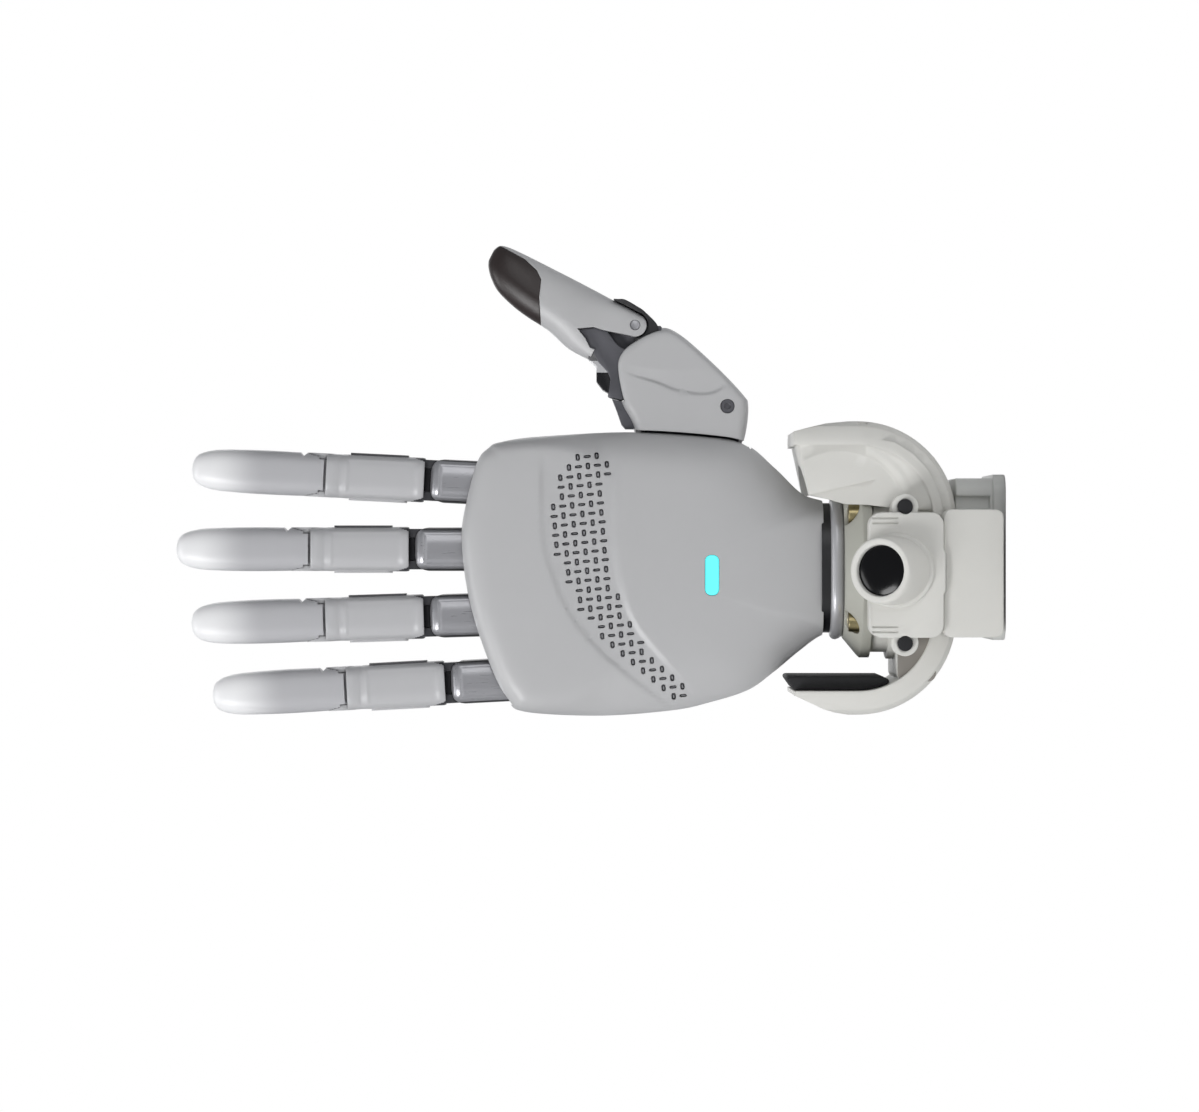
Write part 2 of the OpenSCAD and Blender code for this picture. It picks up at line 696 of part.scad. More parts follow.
module middle_link(i) {
  color([0.72, 0.72, 0.73])
  at_middle_joint(i) difference() {
    union() {
      difference() {
        union() {
          translate([0, 0, joint_gap]) linear_extrude(middle_length - 1.6 - joint_gap)
            finger_profile(14.3 / 14 * finger_width);
          for (m = [0, 1]) mirror([m, 0, 0]) translate([finger_width / 2 - 0.5, 0, middle_length / 2 - 1.5])
            rotate([0, 90, 0]) linear_extrude(1.1) rounded(18.6, finger_depth - 7.4, 1.5);
        }
        disc_x(barrel_r + gap, -ear_x0, ear_x0);
        bend_relief(1);
        translate([0, -finger_depth / 2, 0.8 * middle_length]) rotate([45, 0, 0])
          cube([finger_width + 4, 0.8, 0.8], center = true);
        translate([0, 0, middle_length]) {
          disc_x(barrel_r + gap, -end_slot, end_slot);
          bend_relief(-1);
        }
      }
      for (m = [0, 1]) mirror([m, 0, 0]) {
        disc_x(barrel_r, ear_x0, ear_x1);
        translate([0, 0, middle_length]) disc_x(ear_r, end_slot, finger_width / 2);
      }
    }
    disc_x(pin_r + pin_clearance, -10, 10);
    translate([0, 0, middle_length]) disc_x(pin_r, -10, 10);
  }
}

// Sections of the fingertip: [share of the length, share of the width, share of the depth]
tip_sections = [[0.1, 0.985, 1], [0.35, 1.01, 1], [0.62, 0.99, 0.97], [0.78, 0.95, 0.9], [0.88, 0.86, 0.79],
                [0.95, 0.69, 0.62], [0.985, 0.46, 0.4], [1, 0.2, 0.16]];

module tip_form() {
  back = -finger_depth / 2;
  loft([for (t = tip_sections)
    section(t[1] * finger_width, back + (1 - t[2]) * finger_depth * 0.4,
            back + finger_depth - (1 - t[2]) * finger_depth * 0.6, t[0] * distal_length)]);
}

// The pad's side of the fingertip
module pad_zone(grow) {
  translate([-big / 2, 1.6 - grow, 9 - grow]) rotate([-8, 0, 0]) cube([big, big, big]);
}

module distal(i) {
  color([0.80, 0.80, 0.81])
  at_end_joint(i) difference() {
    union() {
      difference() {
        union() {
          tip_form();
          translate([0, 0, -1.2]) linear_extrude(distal_length * 0.1 + 1.2 + eps) finger_profile(0.985 * finger_width);
        }
        for (m = [0, 1]) mirror([m, 0, 0]) {
          disc_x(ear_r + gap, end_tongue / 2, finger_width);
          translate([end_tongue / 2, -finger_depth, -5]) cube([finger_width, 2 * finger_depth, 5.4]);
        }
        bend_relief(1);
        pad_zone(0);
      }
      disc_x(barrel_r, -end_tongue / 2, end_tongue / 2);
    }
    disc_x(pin_r + pin_clearance, -10, 10);
  }
}

module pad(i) {
  color([0.06, 0.06, 0.07])
  at_end_joint(i) intersection() {
    tip_form();
    pad_zone(0);
  }
}

module middle_pin(i) {
  color([0.7, 0.7, 0.72])
  at_middle_joint(i) disc_x(pin_r, -ear_x1, ear_x1);
}

module end_pin(i) {
  color([0.7, 0.7, 0.72])
  at_end_joint(i) disc_x(pin_r, -finger_width / 2, finger_width / 2);
}

module index_proximal() proximal(0);
module index_middle() middle_link(0);
module index_distal() distal(0);
module index_pad() pad(0);
module index_middle_pin() middle_pin(0);
module index_end_pin() end_pin(0);
module middle_proximal() proximal(1);
module middle_middle() middle_link(1);
module middle_distal() distal(1);
module middle_pad() pad(1);
module middle_middle_pin() middle_pin(1);
module middle_end_pin() end_pin(1);
module ring_proximal() proximal(2);
module ring_middle() middle_link(2);
module ring_distal() distal(2);
module ring_pad() pad(2);
module ring_middle_pin() middle_pin(2);
module ring_end_pin() end_pin(2);
module little_proximal() proximal(3);
module little_middle() middle_link(3);
module little_distal() distal(3);
module little_pad() pad(3);
module little_middle_pin() middle_pin(3);
module little_end_pin() end_pin(3);

// ---- Thumb ----

// The lower shell's outline from the back of the hand: from its mouth round its outer side to its root.
// Each pair is a distance out from the swing axle and one up from the barrel's middle.
shell_points = [[28.8, 23.8], [34, 23.4], [38.4, 19.6], [43, 10.2], [41.4, 3.4], [31.6, -8], [21.8, -17.4],
                [18, -19.2], [9.5, -18.4], [2, -16], [0, 0], [2, 14], [12.6, 18.4], [19.2, 21.8]];
shell_outline = smooth([for (p = shell_points) [thumb_axle_x + p[0], thumb_z + p[1]]], 3);
shell_centre = [thumb_axle_x + 24, thumb_z + 2];
shell_wall = 1.6;
screw_x = thumb_axle_x + 17.8;
screw_z = thumb_z - 12.3;
shell_edge = thumb_axle_x + 11;

module at_hinge() {
  translate([hinge_x, thumb_y, hinge_z]) rotate([0, thumb_tip_angle, 0]) children();
}

module shell_form(less) {
  o = drawn_in(shell_outline, shell_centre, 1 - less / 21);
  double_pillow(o, shell_centre, thumb_y, thumb_shell_depth / 2 - less, firm_edge);
}

module thumb_barrel() {
  color([0.30, 0.30, 0.32])
  translate([thumb_axle_x, thumb_y, thumb_z - thumb_barrel_length / 2]) difference() {
    union() {
      cylinder(r = thumb_barrel_r, h = thumb_barrel_length, $fn = 64);
      translate([0, -frame_thick / 2, 2]) cube([14, frame_thick, thumb_barrel_length - 4]);
    }
    translate([0, 0, -eps]) cylinder(r = axle_r + pin_clearance, h = big);
  }
}

// The room that the tip's heel and the cap take as the tip bends
module heel_sweep(half) {
  at_hinge() {
    disc_y(cap_r + gap, -half, half);
    along_y(-half, half) intersection() {
      circle(heel_r + 2 * gap);
      polygon([[0, 0], [-0.64 * big, -0.77 * big], [-big, 0], [-big, big], [big, big], [big, 0.12 * big]]);
    }
  }
}

tip_half = thumb_tip_width / 2;

// The frame's plate and the block at its root, which closes the gap to the palm
root_half = 5;
root_top = thumb_z + thumb_barrel_length / 2 - 2 + 0.05;
frame_plan = [
  [thumb_axle_x + 14, thumb_z + 11], [thumb_axle_x + 22, thumb_z + 9], [hinge_x - 7, hinge_z - 6],
  [hinge_x - 3, hinge_z + 2.8], [hinge_x - 0.05, hinge_z - 3.9], [hinge_x - 0.05, hinge_z - 8.2],
  [hinge_x - 12, hinge_z - 18], [screw_x + 4, screw_z - 1.4], [screw_x - 2, screw_z - 3],
  [thumb_axle_x + 14, thumb_z - 12]
];
root_plan = [
  [thumb_axle_x + 10.7, root_top], [thumb_axle_x + 10.7, thumb_z + 20.4], [thumb_axle_x + 12, thumb_z + 21.6],
  [thumb_axle_x + 16.6, thumb_z + 23.2], [thumb_axle_x + 21.2, thumb_z + 25], [thumb_axle_x + 24, thumb_z + 20],
  [thumb_axle_x + 20, thumb_z + 9], [thumb_axle_x + 14, thumb_z + 10.9], [thumb_axle_x + 14, root_top]
];

module along_thumb(half) {
  translate([0, thumb_y, 0]) along_y(-half, half) children();
}

module thumb_shell() {
  color([0.70, 0.70, 0.70])
  difference() {
    shell_form(0);
    shell_form(shell_wall);
    heel_sweep(tip_half + gap);
    translate([thumb_axle_x, thumb_y, 0]) cylinder(r = thumb_barrel_r + gap, h = big, $fn = 64);
    translate([thumb_axle_x - 10, thumb_y - big, 0]) cube([10 + eps, 2 * big, big]);
    translate([thumb_axle_x, -big, 0]) cube([shell_edge - thumb_axle_x, big + seam_y + 0.6, big]);
    translate([screw_x, thumb_y, screw_z]) disc_y(2.3, -big, 0);
    along_thumb(root_half + seam) offset(seam) polygon(root_plan);
    along_thumb(frame_thick / 2 + seam) offset(seam) polygon(frame_plan);
  }
}

module thumb_frame() {
  inner = thumb_shell_depth / 2 - shell_wall;
  color([0.28, 0.28, 0.30])
  difference() {
    union() {
      along_thumb(frame_thick / 2) polygon(frame_plan);
      translate([hinge_x, thumb_y, hinge_z]) disc_y(4.1, -frame_thick / 2, frame_thick / 2);
      translate([screw_x, thumb_y, screw_z]) disc_y(3.4, -inner + 0.7, frame_thick / 2);
      difference() {
        along_thumb(root_half) polygon(root_plan);
        heel_sweep(10);
      }
    }
    translate([hinge_x, thumb_y, hinge_z]) disc_y(thumb_pin_r, -10, 10);
    translate([screw_x, thumb_y, screw_z]) disc_y(1.5, -20, 0);
    translate([thumb_axle_x, thumb_y, 0]) cylinder(r = thumb_barrel_r + gap, h = big, $fn = 64);
  }
}

module thumb_screw() {
  inner = thumb_shell_depth / 2 - shell_wall;
  color([0.45, 0.44, 0.43])
  translate([screw_x, thumb_y, screw_z]) difference() {
    union() {
      disc_y(2.2, -thumb_shell_depth / 2 + 0.3, -inner);
      disc_y(1.5, -inner - eps, -inner + 6);
    }
    translate([0, -inner - 0.6, 0]) rotate([90, 0, 0]) cylinder(r = 1.1, h = 10, $fn = 6);
  }
}

// A black cap round the back of the hinge
module thumb_cap() {
  color([0.07, 0.07, 0.08])
  translate([hinge_x, thumb_y, hinge_z]) along_y(-6.4, 6.4) difference() {
    circle(cap_r);
    circle(4.1);
    rotate(-thumb_tip_angle) translate([-big, 0]) square([big + 4.8, big]);
    rotate(40) square([big, big]);
    rotate(90) translate([-big, 0]) square([2 * big, big]);
  }
}

// The knuckle block under the tip's heel, which swings into the shell's mouth
module thumb_link() {
  color([0.12, 0.12, 0.13])
  at_hinge() difference() {
    intersection() {
      along_y(-5.5, 5.5) polygon([
        [-16.4, 8.6], [-17.7, 4.9], [-21.8, 2.8], [-23.2, -0.1], [-23.3, -3.1], [-19.5, -1.7], [-16.9, -0.1],
        [-11.4, 3.4], [-11.6, 9.6]]);
      disc_y(heel_r - gap, -10, 10);
    }
    thumb_form(-0.02);
    along_y(-tip_half, tip_half) polygon([[-13.1, 9.7], [-13, 8.2], [-10, 2.8], [-4, 2], [-4, 12]]);
  }
}

module thumb_hinge_pin() {
  color([0.72, 0.72, 0.73])
  translate([hinge_x, thumb_y, hinge_z]) disc_y(thumb_pin_r, -tip_half, tip_half);
}

// Sections of the tip along its length from the hinge: [share of its length, outer edge, inner edge, width]
thumb_sections = [[0.155, 4, -16.4, 1], [0.31, 4.3, -16.2, 1], [0.466, 4.4, -14, 0.99], [0.62, 4.4, -13.2, 0.97],
                  [0.74, 4.4, -12.1, 0.93], [0.86, 4.3, -10.1, 0.82], [0.935, 4, -7.4, 0.66],
                  [0.98, 3.2, -4.8, 0.42], [1, 1.4, -2.8, 0.2]];

// A section of the thumb's tip, lying across its length
function tip_section(t) = [
  for (p = section(t[1] - t[2], -tip_half * t[3], tip_half * t[3], t[0] * thumb_tip_length))
    [p[0] + (t[1] + t[2]) / 2, p[1], p[2]]
];

module thumb_form(less) {
  loft([for (t = thumb_sections) tip_section([t[0], t[1] - less, t[2] + less, t[3] * (1 - 2 * less / thumb_tip_width)])]);
}

// The outline of the pad on the thumb's tip, [outwards, along]
module thumb_pad_zone() {
  l = thumb_tip_length;
  along_y(-big, big) polygon([[-20, 0.46 * l], [-13, 0.53 * l], [-6, 0.61 * l], [-0.6, 0.65 * l], [1.4, 0.7 * l],
                              [2.9, 0.8 * l], [3.4, 1.1 * l], [-30, 1.1 * l]]);
}

module heel_opening() {
  along_y(-big, big) polygon([[-4.3, -2], [-6.6, 11.5], [-9.4, 16], [-11, 12.4], [-13, 9.6], [-12.4, 0]]);
}

module thumb_tip() {
  color([0.68, 0.68, 0.68])
  at_hinge() difference() {
    union() {
      difference() {
        thumb_form(0);
        heel_opening();
        thumb_pad_zone();
      }
      along_y(-tip_half, tip_half) polygon([[0, -3.7], [3.7, 0], [4, 8.2], [-6, 8.2], [-3.7, 0]]);
      disc_y(3.7, -tip_half, tip_half);
    }
    disc_y(thumb_pin_r + pin_clearance, -20, 20);
    disc_y(8.6, -frame_thick / 2 - gap, frame_thick / 2 + gap);
  }
}

module thumb_bone() {
  half = frame_thick / 2;
  color([0.28, 0.28, 0.31])
  at_hinge() intersection() {
    along_y(-tip_half + 1.6, tip_half - 1.6) difference() {
      polygon([[-6.1, 8.3], [-6.75, 11.4], [-9.45, 15.8], [-11.05, 12.3], [-13, 9.5], [-12.9, 8.2], [-10.4, 3.4]]);
      circle(8.6);
    }
    disc_y(heel_r, -big, big);
  }
}

module thumb_pad() {
  color([0.16, 0.14, 0.14])
  at_hinge() intersection() {
    thumb_form(0);
    thumb_pad_zone();
  }
}

// ---- Camera ----

pod_front = -guard_depth / 2 - 14;
pod_back = -guard_depth / 2 - 3.4;
pod_z0 = guard_z + 5.4;
pod_z1 = drum_z + 9.9;
pod_x = -2.15;
camera_z = pod_z0 + 10.2;
barrel_skirt_r = lens_ring_r + 2.6;

module at_camera() {
  translate([-1.1, pod_front + 1, camera_z]) rotate([90 - camera_tilt, 0, 0]) children();
}

module camera_pod() {
  foot_z0 = guard_z + guard_wall + seam / 2;
  foot_z1 = drum_z - 0.6;
  color([0.87, 0.87, 0.85])
  difference() {
    union() {
      translate([pod_x, 0, (pod_z0 + pod_z1) / 2]) along_y(pod_front, pod_back) rounded(pod_width, pod_z1 - pod_z0, 4);
      translate([pod_x, 0, (foot_z0 + foot_z1) / 2]) along_y(pod_back - eps, -guard_depth / 2 + 3 - seam)
        rounded(pod_width - 4, foot_z1 - foot_z0, 3);
      at_camera() translate([0, 0, -4.5]) cylinder(r = barrel_skirt_r, h = 4);
      for (m = [-1, 1]) translate([pod_x + m * (pod_width / 2 + 1.6), 0, pod_z0 + 12])
        disc_y(4.2, pod_front + 2, pod_back);
    }
    for (m = [-1, 1]) translate([pod_x + m * (pod_width / 2 + 1.8), 0, pod_z0 + 12])
      disc_y(2.4, pod_front, pod_front + 7);
    for (x = [-1, 1], inset = [1.8, 3.4]) translate([pod_x + x * (pod_width / 2 - inset), pod_front, pod_z1 - 5])
      cube([0.5, 0.9, 8], center = true);
    at_camera() translate([0, 0, -8]) cylinder(r = lens_ring_r - 2.2, h = 30);
    at_camera() translate([0, 0, -0.5]) cylinder(r = barrel_skirt_r, h = 30);
  }
}

module pod_plugs() {
  color([0.04, 0.04, 0.04])
  for (m = [-1, 1]) translate([pod_x + m * (pod_width / 2 + 1.8), 0, pod_z0 + 12])
    disc_y(2.4, pod_front + 0.6, pod_front + 7);
}

module camera_barrel() {
  r = lens_ring_r;
  l = lens_barrel_length;
  color([0.88, 0.88, 0.86])
  at_camera() difference() {
    union() {
      translate([0, 0, -0.5]) cylinder(r1 = barrel_skirt_r - 0.02, r2 = r, h = 0.6 * l, $fn = 64);
      cylinder(r = r, h = l, $fn = 64);
      translate([0, 0, -7]) cylinder(r = r - 2.22, h = 7, $fn = 64);
    }
    translate([0, 0, l - 2.6]) cylinder(r = r - 1.1, h = 3, $fn = 64);
    translate([0, 0, -8]) cylinder(r = r - 4, h = 30, $fn = 64);
  }
}

module camera_lens() {
  r = lens_ring_r - 1.1;
  color([0.02, 0.02, 0.03])
  at_camera() translate([0, 0, lens_barrel_length - 2.6]) rotate_extrude($fn = 64)
    polygon([[0, 0], [r, 0], [r, 1.2], [r * 0.75, 1.7], [r * 0.4, 2], [0, 2.1]]);
}

arm_link();
arm_cover();
wrist_guard();
guard_pad();
wrist_drum();
wrist_bearing();
camera_pod();
camera_barrel();
camera_lens();
pod_plugs();
wrist_flange();
flange_screws();
wrist_collar();
collar_seal();
palm_frame();
palm_shell();
palm_cover();
sensor_grille();
status_led();
finger_motors();
thumb_motor();
control_board();
knuckle_pins();
thumb_axle();
index_proximal();
index_middle();
index_distal();
index_pad();
index_middle_pin();
index_end_pin();
middle_proximal();
middle_middle();
middle_distal();
middle_pad();
middle_middle_pin();
middle_end_pin();
ring_proximal();
ring_middle();
ring_distal();
ring_pad();
ring_middle_pin();
ring_end_pin();
little_proximal();
little_middle();
little_distal();
little_pad();
little_middle_pin();
little_end_pin();
thumb_barrel();
thumb_shell();
thumb_frame();
thumb_screw();
thumb_cap();
thumb_link();
thumb_hinge_pin();
thumb_tip();
thumb_bone();
thumb_pad();
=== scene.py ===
import bpy
import bmesh
import json
import math
from mathutils import Matrix, Vector
from mathutils.bvhtree import BVHTree


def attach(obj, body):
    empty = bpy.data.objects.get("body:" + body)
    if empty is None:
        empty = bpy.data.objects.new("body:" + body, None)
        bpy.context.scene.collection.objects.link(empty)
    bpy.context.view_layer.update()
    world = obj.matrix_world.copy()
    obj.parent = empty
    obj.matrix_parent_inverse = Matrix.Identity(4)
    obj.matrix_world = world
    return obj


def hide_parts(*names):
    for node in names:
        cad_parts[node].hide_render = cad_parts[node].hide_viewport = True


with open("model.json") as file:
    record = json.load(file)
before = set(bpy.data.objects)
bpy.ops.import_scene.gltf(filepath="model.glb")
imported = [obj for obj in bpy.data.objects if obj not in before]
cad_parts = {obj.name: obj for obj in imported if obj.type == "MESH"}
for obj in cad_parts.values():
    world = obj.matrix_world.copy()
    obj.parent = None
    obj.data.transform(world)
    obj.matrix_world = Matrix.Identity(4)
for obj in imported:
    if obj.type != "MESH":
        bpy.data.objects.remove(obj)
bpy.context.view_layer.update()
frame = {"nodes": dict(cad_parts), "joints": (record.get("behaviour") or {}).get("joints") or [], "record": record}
record = frame["record"]
nodes = frame["nodes"]
joints = {j["name"]: j for j in frame["joints"]}
slotOf = {s["node"]: s["material_slot"] for s in record["subparts"]}
bodyOf = {n: b for b, ns in record["behaviour"]["bodies"].items() for n in ns}
fingers = ("index", "middle", "ring", "little")
mm = 0.001
through = (-30, 30)  # the ends of a cutter that runs right through a finger or the thumb
print("frame loaded:", len(nodes), "nodes")


# small tools; lengths are in mm

def clamp(v):
    return max(0.0, min(1.0, v))


def smoothStep(a, b, v):
    t = clamp((v - a) / (b - a))
    return t * t * (3 - 2 * t)


def catmull(a, b, c, d, t):
    return 0.5 * (2 * b + (c - a) * t + (2 * a - 5 * b + 4 * c - d) * t * t
                  + (3 * b - a - 3 * c + d) * t ** 3)


def smoothed(four, steps):
    # the curve between the middle two of four rows of numbers
    return [tuple(catmull(*column, s / steps) for column in zip(*four)) for s in range(steps)]


def smoothLoop(points, steps):
    # closed smooth curve through the points
    n = len(points)
    return [p for i in range(n) for p in smoothed([points[(i + k) % n] for k in (-1, 0, 1, 2)], steps)]


def smoothRow(rows, steps):
    # open smooth run through rows of numbers
    padded = [rows[0], *rows, rows[-1]]
    return [p for i in range(len(rows) - 1) for p in smoothed(padded[i:i + 4], steps)] + [tuple(rows[-1])]


def readTable(table, v):
    if v <= table[0][0]:
        return table[0][1]
    for a, b in zip(table, table[1:]):
        if v <= b[0]:
            return a[1] + (b[1] - a[1]) * (v - a[0]) / (b[0] - a[0])
    return table[-1][1]


def camelName(node):
    first, *rest = node.split("_")
    return first + "".join(part.capitalize() for part in rest)


def bothSides(near, far):
    # the ranges of x between near and far, on either side of the middle
    return (-far, -near), (near, far)


# outlines

def arc(radius, a0, a1, count, centre=(0, 0)):
    angles = [math.radians(a0 + (a1 - a0) * k / count) for k in range(count + 1)]
    return [(centre[0] + radius * math.cos(a), centre[1] + radius * math.sin(a)) for a in angles]


def disc(radius, centre=(0, 0), count=64):
    return [(centre[0] + radius * math.cos(2 * math.pi * k / count),
             centre[1] + radius * math.sin(2 * math.pi * k / count)) for k in range(count)]


def roundedBox(w, d, r, centre=(0, 0), count=8):
    out = []
    for cx, cy, a0 in ((1, 1, 0), (-1, 1, 90), (-1, -1, 180), (1, -1, 270)):
        out += arc(r, a0, a0 + 90, count, (centre[0] + cx * (w / 2 - r), centre[1] + cy * (d / 2 - r)))
    return out


def stadium(w, d, count=20):
    r = d / 2
    return [p for side in (1, -1)
            for p in arc(r, -90 * side, -90 * side + 180, count, (side * (w / 2 - r), 0))]


def scaledOutline(outline, centre, share):
    return [(centre[0] + (x - centre[0]) * share, centre[1] + (z - centre[1]) * share) for x, z in outline]


# meshes

def addObject(name, data):
    obj = bpy.data.objects.new(name, data)
    bpy.context.scene.collection.objects.link(obj)
    return obj


def dropObject(obj):
    mesh = obj.data
    bpy.data.objects.remove(obj)
    if mesh.users == 0:
        bpy.data.meshes.remove(mesh)


def editMesh(obj, *edits):
    bm = bmesh.new()
    bm.from_mesh(obj.data)
    for edit in edits:
        edit(bm)
    bm.to_mesh(obj.data)
    bm.free()
    return obj


def weld(bm, gap=0.002):
    bmesh.ops.remove_doubles(bm, verts=bm.verts, dist=gap * mm)


def faceOut(bm):
    bmesh.ops.recalc_face_normals(bm, faces=bm.faces)


def softShade(obj, angle=38):
    for p in obj.data.polygons:
        p.use_smooth = True
    obj.data.set_sharp_from_angle(angle=math.radians(angle))
    return obj


def loft(name, rings):
    # closed surface through rings of equally many points
    n, m = len(rings[0]), len(rings)
    faces = [tuple(range(n)), tuple((m - 1) * n + k for k in range(n))]
    faces += [(j * n + k, j * n + (k + 1) % n, (j + 1) * n + (k + 1) % n, (j + 1) * n + k)
              for j in range(m - 1) for k in range(n)]
    mesh = bpy.data.meshes.new(name)
    mesh.from_pydata([Vector(p) * mm for ring in rings for p in ring], [], faces)
    return softShade(editMesh(addObject(name, mesh), lambda bm: weld(bm, 0.001), faceOut))


def prism(name, outline, lo, hi, axes="xzy"):
    # outline lies in the first two axes and runs from lo to hi along the third
    order = [axes.index(a) for a in "xyz"]
    return loft(name, [[[(*p, h)[k] for k in order] for p in outline] for h in (lo, hi)])


def slab(x0, x1, y0, y1, z0, z1):
    return prism("slab", [(x0, y0), (x1, y0), (x1, y1), (x0, y1)], z0, z1, "xyz")


def lathe(name, profile, place=Matrix.Identity(4), count=72):
    # profile: radius and height; place turns and moves the finished ring
    obj = loft(name, [[(x, y, h) for x, y in disc(max(r, 0.02), (0, 0), count)] for r, h in profile])
    obj.data.transform(place)
    return obj


def applied(obj):
    # bakes the modifiers into the mesh
    graph = bpy.context.evaluated_depsgraph_get()
    mesh = bpy.data.meshes.new_from_object(obj.evaluated_get(graph))
    old = obj.data
    obj.modifiers.clear()
    obj.data = mesh
    bpy.data.meshes.remove(old)
    return obj


def combine(obj, how, *others):
    # how is DIFFERENCE, UNION or INTERSECT; the others are used up
    for other in others:
        for solver in ("MANIFOLD", "EXACT"):
            mod = obj.modifiers.new("join", "BOOLEAN")
            mod.operation = how
            mod.solver = solver
            mod.object = other
            bpy.context.view_layer.update()
            graph = bpy.context.evaluated_depsgraph_get()
            if len(obj.evaluated_get(graph).data.polygons) > 5:
                break
            obj.modifiers.clear()
        applied(obj)
        dropObject(other)
    return obj


def cut(obj, *others):
    return combine(obj, "DIFFERENCE", *others)


def add(obj, *others):
    return combine(obj, "UNION", *others)


def copyOf(obj, name, matrix=Matrix.Identity(4)):
    mesh = obj.data.copy()
    mesh.transform(matrix)
    return addObject(name, mesh)


def cleaned(obj, angle=38):
    return softShade(editMesh(obj, weld, faceOut), angle)


def rounded(obj, width, segments=2):
    # real bevels on the sharp edges
    def joinFlat(bm):
        bmesh.ops.dissolve_limit(bm, angle_limit=math.radians(0.6), verts=bm.verts, edges=bm.edges)

    editMesh(obj, weld, joinFlat, faceOut)
    mod = obj.modifiers.new("edges", "BEVEL")
    mod.width = width * mm
    mod.segments = segments
    mod.limit_method = "ANGLE"
    mod.angle_limit = math.radians(32)
    mod.use_clamp_overlap = True
    bpy.context.view_layer.update()
    return softShade(applied(obj), 40)


def keptShape(node, width=0.0):
    # a closed copy of the construction's piece, with its edges rounded by so much
    obj = copyOf(nodes[node], camelName(node))
    return rounded(obj, width) if width else cleaned(obj)


def splitAt(obj, x):
    # cuts the faces at this x, so that a mark can end there
    editMesh(obj, lambda bm: bmesh.ops.bisect_plane(bm, geom=[*bm.verts, *bm.edges, *bm.faces],
                                                    plane_co=(x * mm, 0, 0), plane_no=(1, 0, 0)))


def maskFaces(obj, test):
    # marks the faces that the finish draws in its second colour, painted shade on most pieces and a second tone on
    # the thumb's link
    layer = obj.data.attributes.new("recess", "FLOAT", "FACE")
    for p in obj.data.polygons:
        layer.data[p.index].value = test(p.center / mm, p.normal)


def grown(obj, tree, values):
    # runs a node tree on the object and keeps the result as its mesh
    mod = obj.modifiers.new(tree.name, "NODES")
    mod.node_group = tree
    for item in tree.interface.items_tree:
        if item.in_out == "INPUT" and item.name in values:
            mod[item.identifier] = values[item.name]
    bpy.context.view_layer.update()
    return applied(obj)


def finished(obj, look, node):
    # gives the piece its finish and lets it stand for the construction's node
    obj.data.materials.clear()
    obj.data.materials.append(finishes[look])
    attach(obj, bodyOf[node])
    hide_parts(node)


# node trees

def addNode(tree, kind, inputs=None, **values):
    # each input, by its name or place, takes a value, a socket or the first output of a node
    node = tree.nodes.new(kind)
    for key, value in values.items():
        setattr(node, key, value)
    for key, value in (inputs or {}).items():
        if isinstance(value, bpy.types.Node):
            value = value.outputs[0]
        if isinstance(value, bpy.types.NodeSocket):
            tree.links.new(value, node.inputs[key])
        else:
            node.inputs[key].default_value = value
    return node


def newGroup(kind, name, inputs, outputs):
    # inputs and outputs: label and kind of socket, and an input's value
    tree = bpy.data.node_groups.new(name, kind + "NodeTree")
    for label, socket, *value in inputs:
        made = tree.interface.new_socket(name=label, in_out="INPUT", socket_type="NodeSocket" + socket)
        if value:
            made.default_value = value[0]
    for label, socket in outputs:
        tree.interface.new_socket(name=label, in_out="OUTPUT", socket_type="NodeSocket" + socket)
    return tree, tree.nodes.new("NodeGroupInput").outputs


def mathNode(tree, operation, *values, clampIt=False):
    return addNode(tree, "ShaderNodeMath", dict(enumerate(values)), operation=operation, use_clamp=clampIt)


def mixColour(tree, factor, a, b):
    return addNode(tree, "ShaderNodeMix", {0: factor, 6: a, 7: b}, data_type="RGBA").outputs[2]


def noiseNode(tree, place, scale, detail):
    inputs = {"Vector": place, "Scale": scale, "Detail": detail, "Roughness": 0.55}
    return addNode(tree, "ShaderNodeTexNoise", inputs).outputs["Fac"]


def swing(tree, noise, amount):
    # the noise, centred on zero and scaled
    return mathNode(tree, "MULTIPLY", mathNode(tree, "SUBTRACT", noise, 0.5), amount)


def standOnPoints(tree, given, points, piece, angles, **more):
    # a piece on every point, turned by the angles, made real and given the material
    turn = addNode(tree, "FunctionNodeEulerToRotation", {0: angles})
    inputs = {"Points": points, "Instance": piece, "Rotation": turn, **more}
    stand = addNode(tree, "GeometryNodeInstanceOnPoints", inputs)
    real = addNode(tree, "GeometryNodeRealizeInstances", {0: stand})
    paint = addNode(tree, "GeometryNodeSetMaterial", {"Geometry": real, "Material": given["Material"]})
    addNode(tree, "NodeGroupOutput", {0: paint})
    return tree


# finishes

sharedInputs = {
    "Colour": (0.5, 0.5, 0.5, 1), "Edge Colour": (0.6, 0.6, 0.6, 1), "Edge Wear": 0.2, "Roughness": 0.4,
    "Recess": 0.0, "Recess Colour": (0.02, 0.02, 0.02, 1),
}
mouldedInputs = {"Mottle": 0.05, "Texture Scale": 2600, "Texture Depth": 0.1, "Edge Radius": 0.0004,
                 "Roughness Spread": 0.08}
machinedInputs = {"Line Scale": 2400, "Line Depth": 0.12, "Edge Radius": 0.0003, "Roughness Spread": 0.15}


def mouldedPattern(tree, given, place):
    # paint, plastic and rubber: fine texture and faint mottling
    broad, streak = noiseNode(tree, place, 55, 4), noiseNode(tree, place, 420, 3)
    fine = noiseNode(tree, place, given["Texture Scale"], 2)
    shade = mathNode(tree, "ADD", swing(tree, broad, given["Mottle"]),
                     swing(tree, fine, mathNode(tree, "MULTIPLY", given["Mottle"], 0.6)))
    return {"level": mathNode(tree, "ADD", 1.0, shade), "rub": mathNode(tree, "ADD", 0.4, streak),
            "stir": streak, "height": fine, "depth": given["Texture Depth"], "reach": 0.00012}


